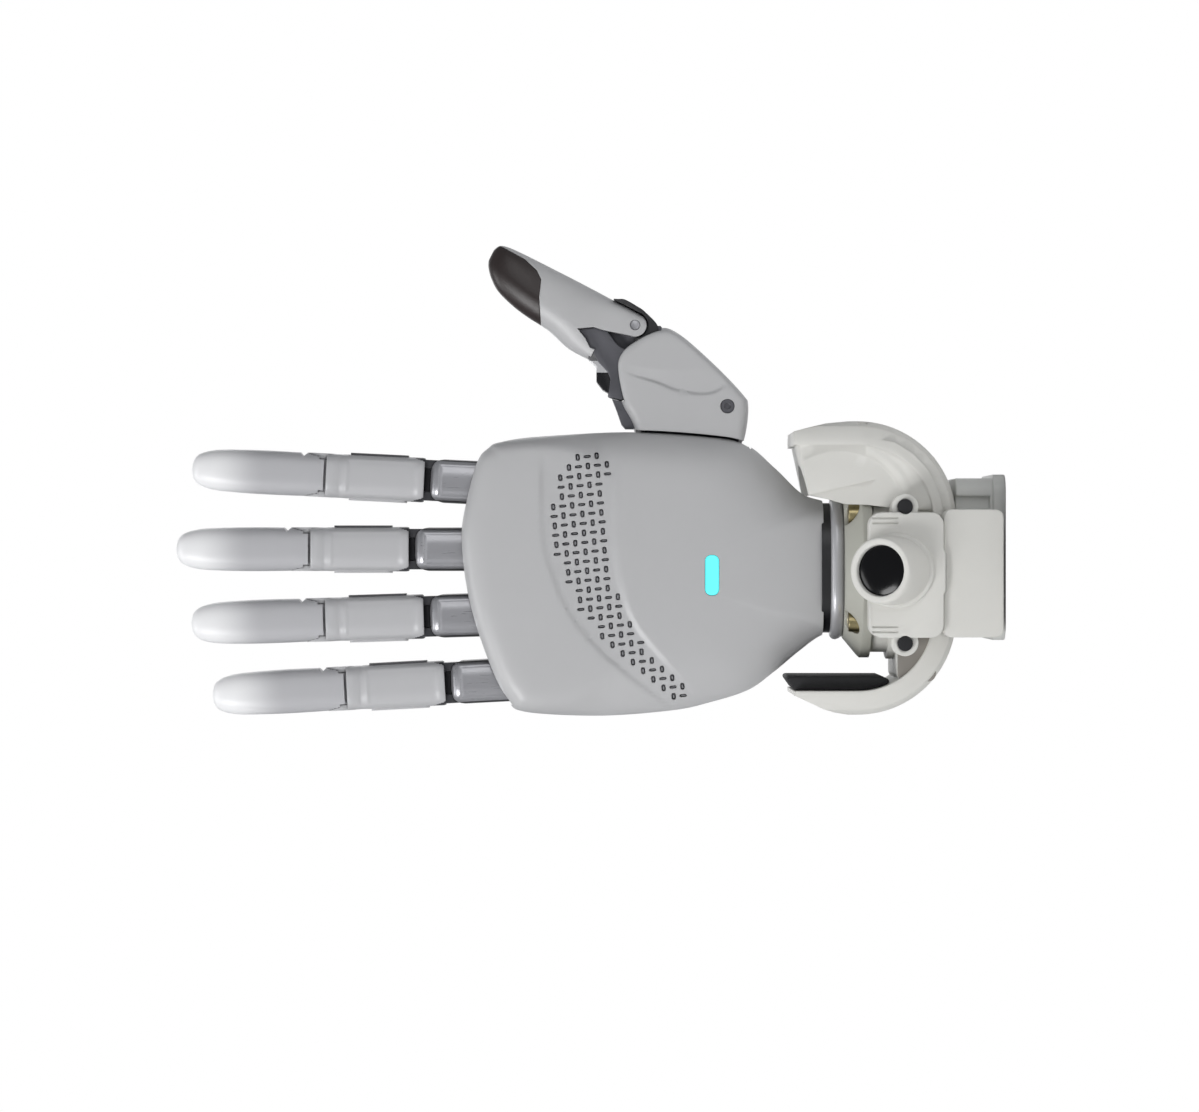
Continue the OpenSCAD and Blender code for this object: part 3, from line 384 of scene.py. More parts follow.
def machinedPattern(tree, given, place):
    # metal: fine tool lines along one direction
    along = addNode(tree, "ShaderNodeMapping", {"Vector": place, "Scale": (1, 1, 0.06)})
    lines = noiseNode(tree, along, given["Line Scale"], 2)
    broad = mathNode(tree, "MULTIPLY", noiseNode(tree, place, 90, 4), 0.14)
    return {"level": mathNode(tree, "ADD", 0.93, broad), "rub": 1.0,
            "stir": lines, "height": lines, "depth": given["Line Depth"], "reach": 0.00006}


def surfaceGroup(name, inputs, pattern):
    # soft edges, drawn a little lighter as wear and as a painted highlight, over the pattern's tone, roughness and
    # relief
    tree, given = newGroup("Shader", name, [
        (label, "Color" if isinstance(value, tuple) else "Float", value)
        for label, value in (sharedInputs | inputs).items()],
        [("Colour", "Color"), ("Roughness", "Float"), ("Normal", "Vector")])
    look = pattern(tree, given, addNode(tree, "ShaderNodeTexCoord").outputs["Object"])
    soft = addNode(tree, "ShaderNodeBevel", {"Radius": given["Edge Radius"]}, samples=4)
    flat = addNode(tree, "ShaderNodeNewGeometry").outputs["Normal"]
    facing = addNode(tree, "ShaderNodeVectorMath", {0: soft, 1: flat}, operation="DOT_PRODUCT")
    bend = mathNode(tree, "SUBTRACT", 1.0, facing.outputs["Value"])
    edge = mathNode(tree, "MULTIPLY", bend, 4.0, clampIt=True)
    # edges drawn lighter: partly wear, partly a painted highlight along them
    wornLitEdge = mathNode(tree, "MULTIPLY", mathNode(tree, "MULTIPLY", edge, given["Edge Wear"]), look["rub"])
    toned = addNode(tree, "ShaderNodeVectorMath", {0: given["Colour"], "Scale": look["level"]},
                    operation="SCALE")
    colour = mixColour(tree, wornLitEdge, toned, given["Edge Colour"])
    stir = swing(tree, look["stir"], given["Roughness Spread"])
    addNode(tree, "NodeGroupOutput", {
        "Colour": mixColour(tree, given["Recess"], colour, given["Recess Colour"]),
        "Roughness": mathNode(tree, "ADD", given["Roughness"], stir, clampIt=True),
        "Normal": addNode(tree, "ShaderNodeBump", {"Distance": look["reach"], "Strength": look["depth"],
                                                   "Height": look["height"], "Normal": soft})})
    return tree


moulded = surfaceGroup("mouldedSurface", mouldedInputs, mouldedPattern)
machined = surfaceGroup("machinedSurface", machinedInputs, machinedPattern)


def linear(hexColour):
    parts = [int(hexColour[k:k + 2], 16) / 255 for k in (0, 2, 4)]
    return (*(p / 12.92 if p <= 0.04045 else ((p + 0.055) / 1.055) ** 2.4 for p in parts), 1)


def makeMaterial(name, group, colour, wornLitEdgeColour, wornLitEdge, roughness, settings, shader=None, recess=None):
    # colour is one, or two and the shares of the piece's length between which one turns into the other
    mat = bpy.data.materials.new(name)
    mat.use_nodes = True
    tree = mat.node_tree
    if isinstance(colour, tuple):
        low, high, start, end = colour
        along = addNode(tree, "ShaderNodeAttribute", attribute_name="along").outputs["Fac"]
        ramp = addNode(tree, "ShaderNodeMapRange", {"Value": along, "From Min": start, "From Max": end},
                       interpolation_type="SMOOTHSTEP")
        base = mixColour(tree, ramp, linear(low), linear(high))
    else:
        base = linear(colour)
    inputs = {"Colour": base, "Edge Colour": linear(wornLitEdgeColour), "Edge Wear": wornLitEdge, "Roughness": roughness,
              **settings}
    # the mask's colour: painted shade on the finger links and the guard, a second tone on the thumb's link
    if recess:
        inside = addNode(tree, "ShaderNodeAttribute", attribute_name="recess").outputs["Fac"]
        inputs |= {"Recess": inside, "Recess Colour": linear(recess)}
    box = addNode(tree, "ShaderNodeGroup", inputs, node_tree=group)
    main = tree.nodes["Principled BSDF"]
    for key, value in (shader or {}).items():
        main.inputs[key].default_value = value
    for key, socket in (("Colour", "Base Color"), ("Roughness", "Roughness"), ("Normal", "Normal")):
        tree.links.new(box.outputs[key], main.inputs[socket])
    return mat


ledWindow = {"colour": "62EEF0", "strength": 0.5}
# the last colour given to a finish is drawn where a piece's mask says: painted shade in the finger joints, on the
# middle links' thumb-side pads and on the guard's lower front, a second tone on the thumb's link
finishes = {
    "handShell": makeMaterial("satinGreyShell", moulded, "B9B9BA", "DADADB", 0.35, 0.36, {
        "Mottle": 0.03, "Texture Depth": 0.10, "Edge Radius": 0.0005}, {"IOR": 1.47}),
    "tipShell": makeMaterial("paleTipShell", moulded, ("B4B4B7", "E8E8E9", 0.42, 0.84), "F2F2F2", 0.2, 0.34, {
        "Mottle": 0.02, "Texture Depth": 0.08}, {"IOR": 1.47}, "3A3A3E"),
    "middleShell": makeMaterial("satinFingerShell", moulded, "B9B9BB", "DCDCDC", 0.35, 0.34, {
        "Mottle": 0.02, "Texture Depth": 0.08}, {"IOR": 1.47}, "303034"),
    "linkMetal": makeMaterial("satinLinkMetal", machined, "ABABAF", "E6E6E8", 0.7, 0.3, {},
                              {"Metallic": 0.6}, "1C1C1F"),
    "darkMetal": makeMaterial("darkFrameMetal", machined, "5C5C61", "8A8A8E", 0.4, 0.42, {},
                              {"Metallic": 0.55}),
    # its second colour is the painted shadow on the front face inside the guard's lower corner
    "wristWhite": makeMaterial("warmWhiteMoulding", moulded, "DAD9D4", "EEEEEA", 0.25, 0.5, {
        "Mottle": 0.035, "Texture Depth": 0.16, "Texture Scale": 1900, "Edge Radius": 0.0007},
        recess="756E67"),
    "flangeGrey": makeMaterial("warmGreyMoulding", moulded, "AFAFA6", "CFCFC8", 0.3, 0.42, {
        "Mottle": 0.04, "Texture Depth": 0.14, "Texture Scale": 1900, "Edge Radius": 0.0006}),
    "armMetal": makeMaterial("greyArmPaint", moulded, "D0D1CE", "E4E4E2", 0.5, 0.4, {
        "Texture Depth": 0.12, "Edge Radius": 0.0006}),
    "blackRubber": makeMaterial("softBlackRubber", moulded, "17171A", "343438", 0.3, 0.72, {
        "Mottle": 0.12, "Texture Depth": 0.4, "Texture Scale": 1500, "Edge Radius": 0.0006}),
    "twoToneLink": makeMaterial("twoToneLink", moulded, "C8C8CA", "EEEEEE", 0.5, 0.26, {
        "Mottle": 0.03, "Texture Depth": 0.04}, {"Metallic": 0.3}, "1A1A1D"),
    "thumbRubber": makeMaterial("brownBlackRubber", moulded, "2A2221", "4A3E3A", 0.2, 0.38, {
        "Mottle": 0.08, "Texture Depth": 0.2, "Texture Scale": 1800, "Edge Radius": 0.0006}),
    "blackPlastic": makeMaterial("blackMoulding", moulded, "1B1B1E", "3C3C40", 0.3, 0.34, {
        "Texture Depth": 0.12}),
    "steel": makeMaterial("groundSteel", machined, "B4B4B8", "DCDCDE", 0.4, 0.28, {}, {"Metallic": 1.0}),
    "brass": makeMaterial("wornBrass", machined, "A89C76", "D6CDB0", 0.6, 0.3, {}, {"Metallic": 1.0}),
    "brightTrim": makeMaterial("brightRing", machined, "BCBCBF", "EEEEEE", 0.6, 0.36, {"Line Depth": 0.05},
                               {"Metallic": 0.4}),
    "lensGlass": makeMaterial("blackLens", moulded, "050507", "121218", 0.2, 0.16, {
        "Mottle": 0.02, "Texture Depth": 0.0, "Roughness Spread": 0.04}, {"Specular IOR Level": 0.3}),
    "grilleMesh": makeMaterial("darkGrille", moulded, "8C8C90", "9A9A9E", 0.2, 0.6, {
        "Mottle": 0.1, "Texture Depth": 0.3, "Texture Scale": 2200}),
    "circuit": makeMaterial("greenBoard", moulded, "1E5A3A", "8A9A70", 0.4, 0.4, {
        "Mottle": 0.15, "Texture Depth": 0.3, "Texture Scale": 900}),
    "led": makeMaterial("cyanWindow", moulded, ledWindow["colour"], "B8FFFF", 0.5, 0.25, {
        "Mottle": 0.04, "Texture Depth": 0.0}, {
        "Emission Color": linear(ledWindow["colour"]), "Emission Strength": ledWindow["strength"]}),
}
print("materials made:", len(finishes))

for name, obj in nodes.items():
    obj.data.materials.clear()
    obj.data.materials.append(finishes[camelName(slotOf[name])])


# fingers

fingerSize = {
    "width": 14.0, "depth": 14.6, "proximal": 31.0, "middle": 34.4, "tip": 41.3, "roundness": 3.1,
    "barrel": 5.2, "knuckle": 6.0, "ear": 4.6, "pin": 1.5, "gap": 0.4, "jointGap": 0.9,
    "tongue": 7.0, "tipTongue": 10.0, "knuckleTongue": 8.0, "padFrom": 9.0, "padSunk": 1.6, "padLean": 8,
    "notch": (2.6, 5.6, 8.2), "notchDepth": 1.5,
}
pinBore = (-10, 10)  # wider than a finger


def linkMatrix(name):
    # frame of a finger joint: x across, y into the palm side, z along the link
    j = joints[name]
    axis = Vector(j["axis"]).normalized()
    palmward = Vector((0, 1, 0))
    m = Matrix((-axis, palmward, palmward.cross(axis))).transposed().to_4x4()
    m.translation = Vector(j["pos_m"])
    return m


def sectionRing(halfW, back, front, z, power, count=72):
    ring = []
    for k in range(count):
        a = 2 * math.pi * (k + 0.5) / count
        e = 2 / power
        x = halfW * math.copysign(abs(math.cos(a)) ** e, math.cos(a))
        y = (back + front) / 2 + (front - back) / 2 * math.copysign(abs(math.sin(a)) ** e, math.sin(a))
        ring.append((x, y, z))
    return ring


def fingerForm(name, stations, steps, dish=None):
    # stations: z, half width, back, front, roundness; dish: sunk panel on the back
    rows = smoothRow(stations, steps)
    rings = [sectionRing(half, back, front, z, power) for z, half, back, front, power in rows]
    if dish:
        for ring in rings:
            for k, (x, y, z) in enumerate(ring):
                if y < 0:
                    d = min(dish["halfWidth"] - abs(x), z - dish["from"], dish["to"] - z)
                    ring[k] = (x, y + dish["depth"] * smoothStep(0, dish["soft"], d), z)
    return loft(name, rings)


def sections(rows):
    # rows: place along the piece, and how far half width, back and front stand off the plain section
    w, b = fingerSize["width"] / 2, fingerSize["depth"] / 2
    return [(z, w + wide, back - b, b + front, fingerSize["roundness"]) for z, wide, back, front in rows]


def crossPin(radius, x0, x1, z=0.0):
    return prism("disc", disc(radius, (0, z), 56), x0, x1, "yzx")


def reliefBlock(up, z=0.0):
    # the wedge left open on the pad side of a bending joint
    d, g = fingerSize["depth"], fingerSize["jointGap"]
    outline = [(0.5, z - up), (0.5, z + up * g), (d, z + up * (g + d - 0.5)), (d, z - up)]
    return prism("relief", outline, *through, "yzx")


def buildProximal():
    s, w = fingerSize, fingerSize["width"] / 2
    start, length, socket = s["knuckle"] + s["gap"], s["proximal"], s["barrel"] + s["gap"]
    end = length - s["jointGap"]
    rows = [(start, -0.3, 0.7, -0.3), (start + 0.8, 0, 0.1, 0), (end - 5, 0, 0, 0), (end - 2.6, 0, 0.05, 0),
            (end - 1.3, -0.1, 0.55, 0), (end - 0.4, -0.4, 1.4, -0.1), (end, -0.75, 2.1, -0.3)]
    dish = {"halfWidth": w - 1.7, "from": start + 0.5, "to": end - 2.7, "depth": 0.5, "soft": 1.0}
    obj = fingerForm("proximal", sections(rows), 12, dish)
    cut(obj, reliefBlock(-1, length), reliefBlock(1, start - s["jointGap"]),
        *[crossPin(socket, *ends, length) for ends in bothSides(s["tongue"] / 2, 20)])
    t = s["knuckleTongue"] / 2
    add(obj, crossPin(s["knuckle"], -t, t), slab(-t, t, -s["knuckle"], 0.4 * s["knuckle"], 0, start + 1),
        crossPin(s["barrel"], -s["tongue"] / 2, s["tongue"] / 2, length))
    cut(obj, crossPin(s["pin"] + 0.05, *pinBore), crossPin(s["pin"], *pinBore, length))
    softShade(obj)
    # painted shade: the end faces at the joints, the socket and the side faces are drawn near black
    maskFaces(obj, lambda c, n: float(c.z > end - 0.2 or math.hypot(c.y, c.z - length) < socket + 0.05
                                      or abs(n.x) > 0.9))
    return obj


def buildMiddle():
    s, w, length = fingerSize, fingerSize["width"] / 2, fingerSize["middle"]
    top, socket = length - 1.9, s["barrel"] + s["gap"]
    rows = [(0.9, -0.1, 0.45, 0), (1.8, 0.15, 0.02, 0), (5, 0.15, 0, 0), (22, 0.12, 0, 0),
            (25.6, 0.06, 0.08, 0), (27.2, 0, 0.55, 0), (28.1, -0.02, 0.72, 0), (29.0, 0, 0.4, 0),
            (30.4, 0, 0.12, 0), (top - 0.5, 0, 0.16, 0), (top, -0.15, 0.5, 0)]
    dish = {"halfWidth": w - 1.3, "from": 2.8, "to": 26.0, "depth": 0.34, "soft": 1.2}
    obj = fingerForm("middle", sections(rows), 9, dish)
    earIn, slot = s["tongue"] / 2 + s["gap"] / 2, s["tipTongue"] / 2 + s["gap"] / 2
    panel = roundedBox(s["depth"] - 7.4, 18.6, 1.5, (0, length / 2 - 1.5))
    add(obj, *[prism("sidePad", panel, *ends, "yzx") for ends in bothSides(w - 0.5, w + 0.6)])
    cut(obj, crossPin(socket, -earIn, earIn), reliefBlock(1), crossPin(socket, -slot, slot, length),
        reliefBlock(-1, length))
    for low, high in zip(bothSides(earIn, w - 0.5), bothSides(slot, w)):
        add(obj, crossPin(s["barrel"], *low), crossPin(s["ear"], *high, length))
    cut(obj, crossPin(s["pin"] + 0.05, *pinBore), crossPin(s["pin"], *pinBore, length))
    softShade(obj)
    # painted shade: the faces in the joints and the socket are drawn dark, and the side pad on the thumb's side
    # nearly as dark
    maskFaces(obj, lambda c, n: float(c.z < 1.0 or math.hypot(c.y, c.z) < socket + 0.05
                                      or abs(c.x) < slot and c.z > top - 0.1)
              or 0.85 * (c.x > w - 0.1 and abs(c.y) < 3.9 and 5 < c.z < 27))
    return obj


tipStations = [  # share of length, share of width, share of depth
    [-0.03, 0.985, 0.99], [0.06, 0.985, 1.0], [0.2, 1.0, 1.0], [0.35, 1.01, 1.0], [0.5, 1.005, 0.995],
    [0.62, 0.99, 0.97], [0.72, 0.968, 0.93], [0.8, 0.935, 0.88], [0.87, 0.865, 0.8], [0.92, 0.775, 0.71],
    [0.955, 0.66, 0.6], [0.98, 0.5, 0.45], [0.993, 0.33, 0.3], [1.0, 0.12, 0.11],
]


def tipForm(name):
    s = fingerSize
    rows = []
    for share, wide, deep in tipStations:
        back = -s["depth"] / 2 + (1 - deep) * s["depth"] * 0.42
        front = s["depth"] / 2 - (1 - deep) * s["depth"] * 0.58
        power = 3.0 - 0.6 * smoothStep(0.6, 1, share)
        rows.append([share * s["tip"], wide * s["width"] / 2, back, front, power])
    return fingerForm(name, rows, 7)


def padZone(grow=0.0):
    # the room of the rubber pad, which leans into the tip
    s, reach = fingerSize, 60
    dy, dz = reach * math.sin(math.radians(s["padLean"])), reach * math.cos(math.radians(s["padLean"]))
    y, z = s["padSunk"] - grow, s["padFrom"] - grow
    outline = [(y, z), (y + dy, z + dz), (y + dy + reach, z + dz), (y + reach, z)]
    return prism("padZone", outline, *through, "yzx")


def buildDistal():
    s, big = fingerSize, 20
    t, w = s["tipTongue"] / 2, s["width"] / 2
    obj = tipForm("distal")
    cut(obj, reliefBlock(1), padZone())
    for ends in bothSides(t, big):
        cut(obj, crossPin(s["ear"] + s["gap"], *ends), slab(*ends, -big, big, -5, 0.4))
    low, middle, high = s["notch"]
    cut(obj, prism("notch", [(w - s["notchDepth"], middle), (w + 2, low), (w + 2, high)], *through))
    add(obj, crossPin(s["barrel"], -t, t))
    cut(obj, crossPin(s["pin"] + 0.05, *pinBore))
    softShade(obj)
    # painted shade: the socket round the end pin is drawn dark
    maskFaces(obj, lambda c, n: float(math.hypot(c.y, c.z) < s["ear"] + s["gap"] + 0.1))
    along = obj.data.attributes.new("along", "FLOAT", "POINT")
    for v in obj.data.vertices:
        along.data[v.index].value = v.co.z / mm / s["tip"]
    return obj


def buildPad():
    return softShade(combine(tipForm("pad"), "INTERSECT", padZone(-0.02)))


fingerPieces = {  # how each piece of a finger is built, the joint it rides on and its finish
    "proximal": (buildProximal, "knuckle", "linkMetal"),
    "middle": (buildMiddle, "middle_joint", "middleShell"),
    "distal": (buildDistal, "end_joint", "tipShell"),
    "pad": (buildPad, "end_joint", "blackRubber"),
}
sources = {part: build() for part, (build, joint, look) in fingerPieces.items()}
for finger in fingers:
    for part, (build, joint, look) in fingerPieces.items():
        node = f"{finger}_{part}"
        finished(copyOf(sources[part], camelName(node), linkMatrix(f"{finger}_{joint}")), look, node)
for source in sources.values():
    dropObject(source)
print("fingers made")


# palm

palmSize = {
    "width": 91.0, "length": 118.5, "base": 55.2, "neck": 21.5, "seam": -2.5, "split": 0.2, "coverRise": 13.0,
    "shellDrop": 17.0, "wall": 2.2, "bayBack": 9.0, "bayRoof": 8.5, "pitch": 20.6, "rings": 44,
    "rimPower": (6, 30), "rimFrom": (128, 156), "edgeShare": 0.625, "dome": 0.16, "neckEnd": 57.3,
    "ramp": (147, 160), "rampIn": 28,
}
palmSides = [(0.10, 1), (0.24, 0.986), (0.378, 0.957), (0.426, 0.928), (0.45, 0.886), (0.468, 0.724),
             (0.478, 0.544), (0.464, 0.349), (0.436, 0.227), (0.352, 0.146), (0.264, 0.075)]
palmSidesBack = [(-0.293, 0.08), (-0.365, 0.147), (-0.431, 0.219), (-0.476, 0.327), (-0.502, 0.422),
                 (-0.521, 0.617), (-0.508, 0.82), (-0.468, 0.872), (-0.345, 0.922), (-0.12, 0.978)]
palmCentre = (-0.02 * palmSize["width"], palmSize["base"] + 0.48 * palmSize["length"])
beside, above = 90, 200  # past the hand's sides and past its fingertips


def palmOutline(steps):
    p = palmSize
    place = lambda q: (q[0] * p["width"], p["base"] + q[1] * p["length"])
    neck = [(p["neck"], p["base"] + 2), (0.86 * p["neck"], p["base"] - 9), (0, p["base"] - 15),
            (-0.86 * p["neck"], p["base"] - 9), (-p["neck"], p["base"] + 2)]
    return smoothLoop([place(q) for q in palmSides] + neck + [place(q) for q in palmSidesBack], steps)


def crownRings(outline, centre, y, rise, count, power, share, shrink=1.0, dome=0.0):
    # power may be one number or a rule that reads it from the place on the outline
    rings = []
    last = 0.02
    for k in range(count):
        s = 1 - (1 - last) * (k / (count - 1)) ** 1.9
        ring = []
        for x, z in outline:
            n = power(x, z) if callable(power) else power
            h = y + rise * ((1 - dome) * max(0.0, 1 - s ** n) ** share + dome * (1 - s * s))
            ring.append((centre[0] + (x - centre[0]) * s * shrink, h,
                         centre[1] + (z - centre[1]) * s * shrink))
        rings.append(ring)
    return rings


def rimPower(x, z):
    # the cover's rim is steeper over the knuckles
    low, high = palmSize["rimPower"]
    return low + (high - low) * smoothStep(*palmSize["rimFrom"], z)


def coverRings(outline, y, less, count):
    p = palmSize
    return crownRings(outline, palmCentre, y, less - p["coverRise"], count, rimPower, p["edgeShare"],
                      1 - 2 * less / p["width"], p["dome"])


def bayCutters(y, side):
    # the room left for the knuckles; side is how far it reaches past an outer finger's middle line
    p = palmSize
    out = []
    for finger in fingers:
        m = linkMatrix(f"{finger}_knuckle")
        at, lean = m.translation / mm, m.col[2][0] / m.col[2][2]
        low = at.z - p["bayBack"]
        drift = [lean * (z - at.z) for z in (low, above)]
        x0 = [at.x - side + d if finger == "little" else at.x - p["pitch"] / 2 for d in drift]
        x1 = [at.x + side + d if finger == "index" else at.x + p["pitch"] / 2 + 0.01 for d in drift]
        out.append(prism("bay", [(x0[0], low), (x1[0], low), (x1[1], above), (x0[1], above)], y, beside))
    return out


def palmHalf(name, rings, inner, bayY, side):
    body = slab(-beside, beside, -beside, beside, -beside, palmSize["neckEnd"])
    return loft(name, rings), [loft("inner", inner), body, *bayCutters(bayY, side)]


thumbSize = {
    "axleX": 34.0, "y": 4.0, "z": 100.0, "barrel": 9.2, "barrelLength": 32.0, "hinge": (77.9, 117.3),
    "lean": 27.0, "tip": 51.5, "tipWidth": 14.6, "shellDepth": 18.0, "shellWall": 1.6, "frame": 4.8,
    "pin": 1.6, "ear": 6.4, "cap": 8.2, "capHalf": 6.3, "capBore": 4.25, "plate": 8.9, "leafIn": 3.0,
    "leafOut": 5.9, "heel": 24.0, "heelSweep": (6.8428, 230.2677), "screw": (17.8, -12.3),
    "screwHole": 2.3, "room": 0.4,
}
pocket = (thumbSize["z"] - 20, thumbSize["z"] + 25.4)


def barrelRoom(z0, z1):
    t = thumbSize
    return prism("barrelRoom", disc(t["barrel"] + t["room"], (t["axleX"], t["y"])), z0, z1, "xyz")


ledSize = {"x": -2.3, "width": 12.8, "height": 4.4, "corner": 1.9, "share": 0.318, "sunk": 0.22}
ledZ = palmSize["base"] + ledSize["share"] * palmSize["length"]

bandSize = {"depth": 0.85, "upperEdge": 1.0, "footEdge": 2.0, "fade": (26, 40)}
bandTop = smoothRow([(-48, 102), (-44.4, 106.7), (-35.2, 119), (-25.2, 130.4), (-14.5, 138.8), (-3, 144),
                     (7.7, 146.9), (21.8, 147.7), (36, 147.7)], 6)
bandFoot = smoothRow([(-48, 89), (-42.6, 95.2), (-29.8, 106.8), (-17.9, 116.4), (-4.2, 121.5), (9, 123.4),
                      (21.8, 123.1), (36, 121.6)], 6)


def bandSink(x, z):
    upper = smoothStep(0, bandSize["upperEdge"], readTable(bandTop, x) - z)
    foot = smoothStep(0, bandSize["footEdge"], z - readTable(bandFoot, x))
    return bandSize["depth"] * upper * foot * (1 - smoothStep(*bandSize["fade"], x))


# The slots over the grille stand on a slightly turned grid, tall and flat by turns.
# Row 0 is nearest the thumb.
gridSize = {
    "pitch": 3.02, "turn": 4.8, "middle": (10.4, 142.65), "middleRow": 8, "rows": 27, "tall": (2.15, 1.35),
    "flat": (0.95, 2.25), "corner": 0.3, "pin": (1.2, 0.5), "pinSunk": 0.3, "bar": (0.45, 1.7),
    "barSunk": 0.75, "pinDepth": 2.6,
    "first": [(0, 3), (2, 1), (4, 1), (5, 0), (10, 0), (11, 1), (13, 1), (14, 2), (16, 2), (18, 3.8), (19, 4),
              (26, 11)],
    "last": [(0, 5), (1, 6), (2, 6), (3, 5), (14, 5), (15, 6), (17, 6), (18, 7), (19, 7), (20, 8), (21, 8),
             (25, 12), (26, 12)],
}


def gridPlaces():
    g = gridSize
    turn = math.radians(g["turn"])
    out = []
    for row in range(g["rows"]):
        for column in range(round(readTable(g["first"], row)), round(readTable(g["last"], row)) + 1):
            u, v = (g["middleRow"] - row) * g["pitch"], -column * g["pitch"]
            out.append((g["middle"][0] + u * math.cos(turn) - v * math.sin(turn),
                        g["middle"][1] + u * math.sin(turn) + v * math.cos(turn), (row + column) % 2 == 1))
    return out


def gridTree():
    # stands a rounded slot or pin on every point, tall or flat as the point says
    tree, given = newGroup("Geometry", "gridSlots", [
        ("Points", "Geometry"), ("Tall Size", "Vector", (1, 1, 1)), ("Flat Size", "Vector", (1, 1, 1)),
        ("Turn", "Float", 0.0), ("Corner", "Float", 0.2), ("Material", "Material")], [("Slots", "Geometry")])
    square = addNode(tree, "GeometryNodeCurvePrimitiveQuadrilateral", {"Width": 1.0, "Height": 1.0})
    corner = addNode(tree, "GeometryNodeFilletCurve", {"Curve": square, "Radius": given["Corner"],
                                                       "Count": 3}, mode="POLY")
    line = addNode(tree, "GeometryNodeCurvePrimitiveLine", {"Start": (0, 0, -0.5), "End": (0, 0, 0.5)})
    solid = addNode(tree, "GeometryNodeCurveToMesh", {"Curve": line, "Profile Curve": corner,
                                                      "Fill Caps": True})
    tall = addNode(tree, "GeometryNodeInputNamedAttribute", {"Name": "tall"}, data_type="BOOLEAN")
    size = addNode(tree, "GeometryNodeSwitch", {"Switch": tall, "False": given["Flat Size"],
                                                "True": given["Tall Size"]}, input_type="VECTOR")
    back = mathNode(tree, "MULTIPLY", given["Turn"], -1.0)
    angles = addNode(tree, "ShaderNodeCombineXYZ", {"X": math.pi / 2, "Y": back})
    return standOnPoints(tree, given, given["Points"], solid, angles, Scale=size)


slotTree = gridTree()


def gridSolids(name, places, tallSize, flatSize, depth, look):
    # places: point and whether it is tall
    mesh = bpy.data.meshes.new(name)
    mesh.from_pydata([Vector(p) * mm for p, tall in places], [], [])
    layer = mesh.attributes.new("tall", "BOOLEAN", "POINT")
    for k, (p, tall) in enumerate(places):
        layer.data[k].value = tall
    solid = lambda size: [size[0] * mm, size[1] * mm, depth * mm]
    return cleaned(grown(addObject(name, mesh), slotTree, {
        "Tall Size": solid(tallSize), "Flat Size": solid(flatSize), "Turn": math.radians(gridSize["turn"]),
        "Corner": gridSize["corner"], "Material": finishes[look]}))


def surfaceAt(tree, x, z):
    return tree.ray_cast(Vector((x, -60, z)) * mm, Vector((0, 1, 0)))[0].y / mm


def buildCover():
    p, g = palmSize, gridSize
    outline = palmOutline(14)
    y, roof = p["seam"] - p["split"] / 2, -p["bayRoof"]
    plain = coverRings(outline, y, 0, 2 * p["rings"])
    rings = [[(x, h + bandSink(x, z), z) for x, h, z in ring] for ring in plain]
    obj, cutters = palmHalf("palmCover", rings, coverRings(outline, y + 0.01, p["wall"], 30), roof,
                            fingerSize["width"] / 2 + 1)
    surface = BVHTree.FromObject(obj, bpy.context.evaluated_depsgraph_get())
    places = gridPlaces()
    heights = [surfaceAt(surface, x, z) for x, z, tall in places]
    ledFront = surfaceAt(surface, ledSize["x"], ledZ) + ledSize["sunk"]
    low, high = p["ramp"]
    ramp = [(y + 1, low), (roof, high), (roof, above), (beside, above), (beside, low)]
    slots = [((x, -10, z), tall) for x, z, tall in places]
    cut(obj, *cutters, gridSolids("slots", slots, g["tall"], g["flat"], 14, "handShell"),
        prism("ledSlot", ledOutline(-0.1), -30, -8),
        *[prism("corner", ramp, *ends, "yzx") for ends in bothSides(p["rampIn"], beside)],
        barrelRoom(*pocket))
    stands = [((x, h + (g["pinSunk"] if tall else g["barSunk"]) + g["pinDepth"] / 2, z), tall)
              for (x, z, tall), h in zip(places, heights)]
    pins = gridSolids("pins", stands, g["pin"], g["bar"], g["pinDepth"], "grilleMesh")
    return softShade(obj, 42), pins, ledFront


def buildGrille(pins):
    # the plate under the slots, with a pin standing in each of them
    p = palmSize
    outline = palmOutline(5)
    y, deep = p["seam"] - p["split"] / 2 + 0.01, p["wall"] + p["split"]
    upper, lower = (loft("sensorGrille", coverRings(outline, y, less, 24)) for less in (deep, deep + 1.2))
    xs = [-44 + 4 * k for k in range(21)]
    zone = prism("zone", [(x, readTable(bandTop, x)) for x in xs] +
                 [(x, readTable(bandFoot, x)) for x in reversed(xs)], -30, -4)
    obj = cut(combine(upper, "INTERSECT", zone), lower)
    editMesh(obj, lambda bm: bm.from_mesh(pins.data))
    dropObject(pins)
    return softShade(obj)


def ledOutline(inset):
    w, h = ledSize["width"] - 2 * inset, ledSize["height"] - 2 * inset
    return roundedBox(w, h, max(0.3, ledSize["corner"] - inset), (ledSize["x"], ledZ), 10)


def buildLed(front):
    rows = [(0.0, 3.2), (0.0, 0.35), (0.12, 0.12), (0.35, 0.0), (0.9, -0.04)]  # inset and depth
    return loft("statusLed", [[(x, front + d, z) for x, z in ledOutline(i)] for i, d in rows])


def buildShell():
    p, t = palmSize, thumbSize
    outline = palmOutline(9)
    y, power = p["seam"] + p["split"] / 2, 6
    rings = crownRings(outline, palmCentre, y, p["shellDrop"], p["rings"], power, p["edgeShare"])
    inner = crownRings(outline, palmCentre, y - 0.01, p["shellDrop"] - p["wall"], 18, power, p["edgeShare"],
                       1 - 2 * p["wall"] / p["width"])
    obj, cutters = palmHalf("palmShell", rings, inner, -beside, 60)
    opening = slab(t["axleX"] - t["barrel"] - 2 * t["room"], beside, -beside, beside, *pocket)
    return softShade(cut(obj, *cutters, opening), 42)


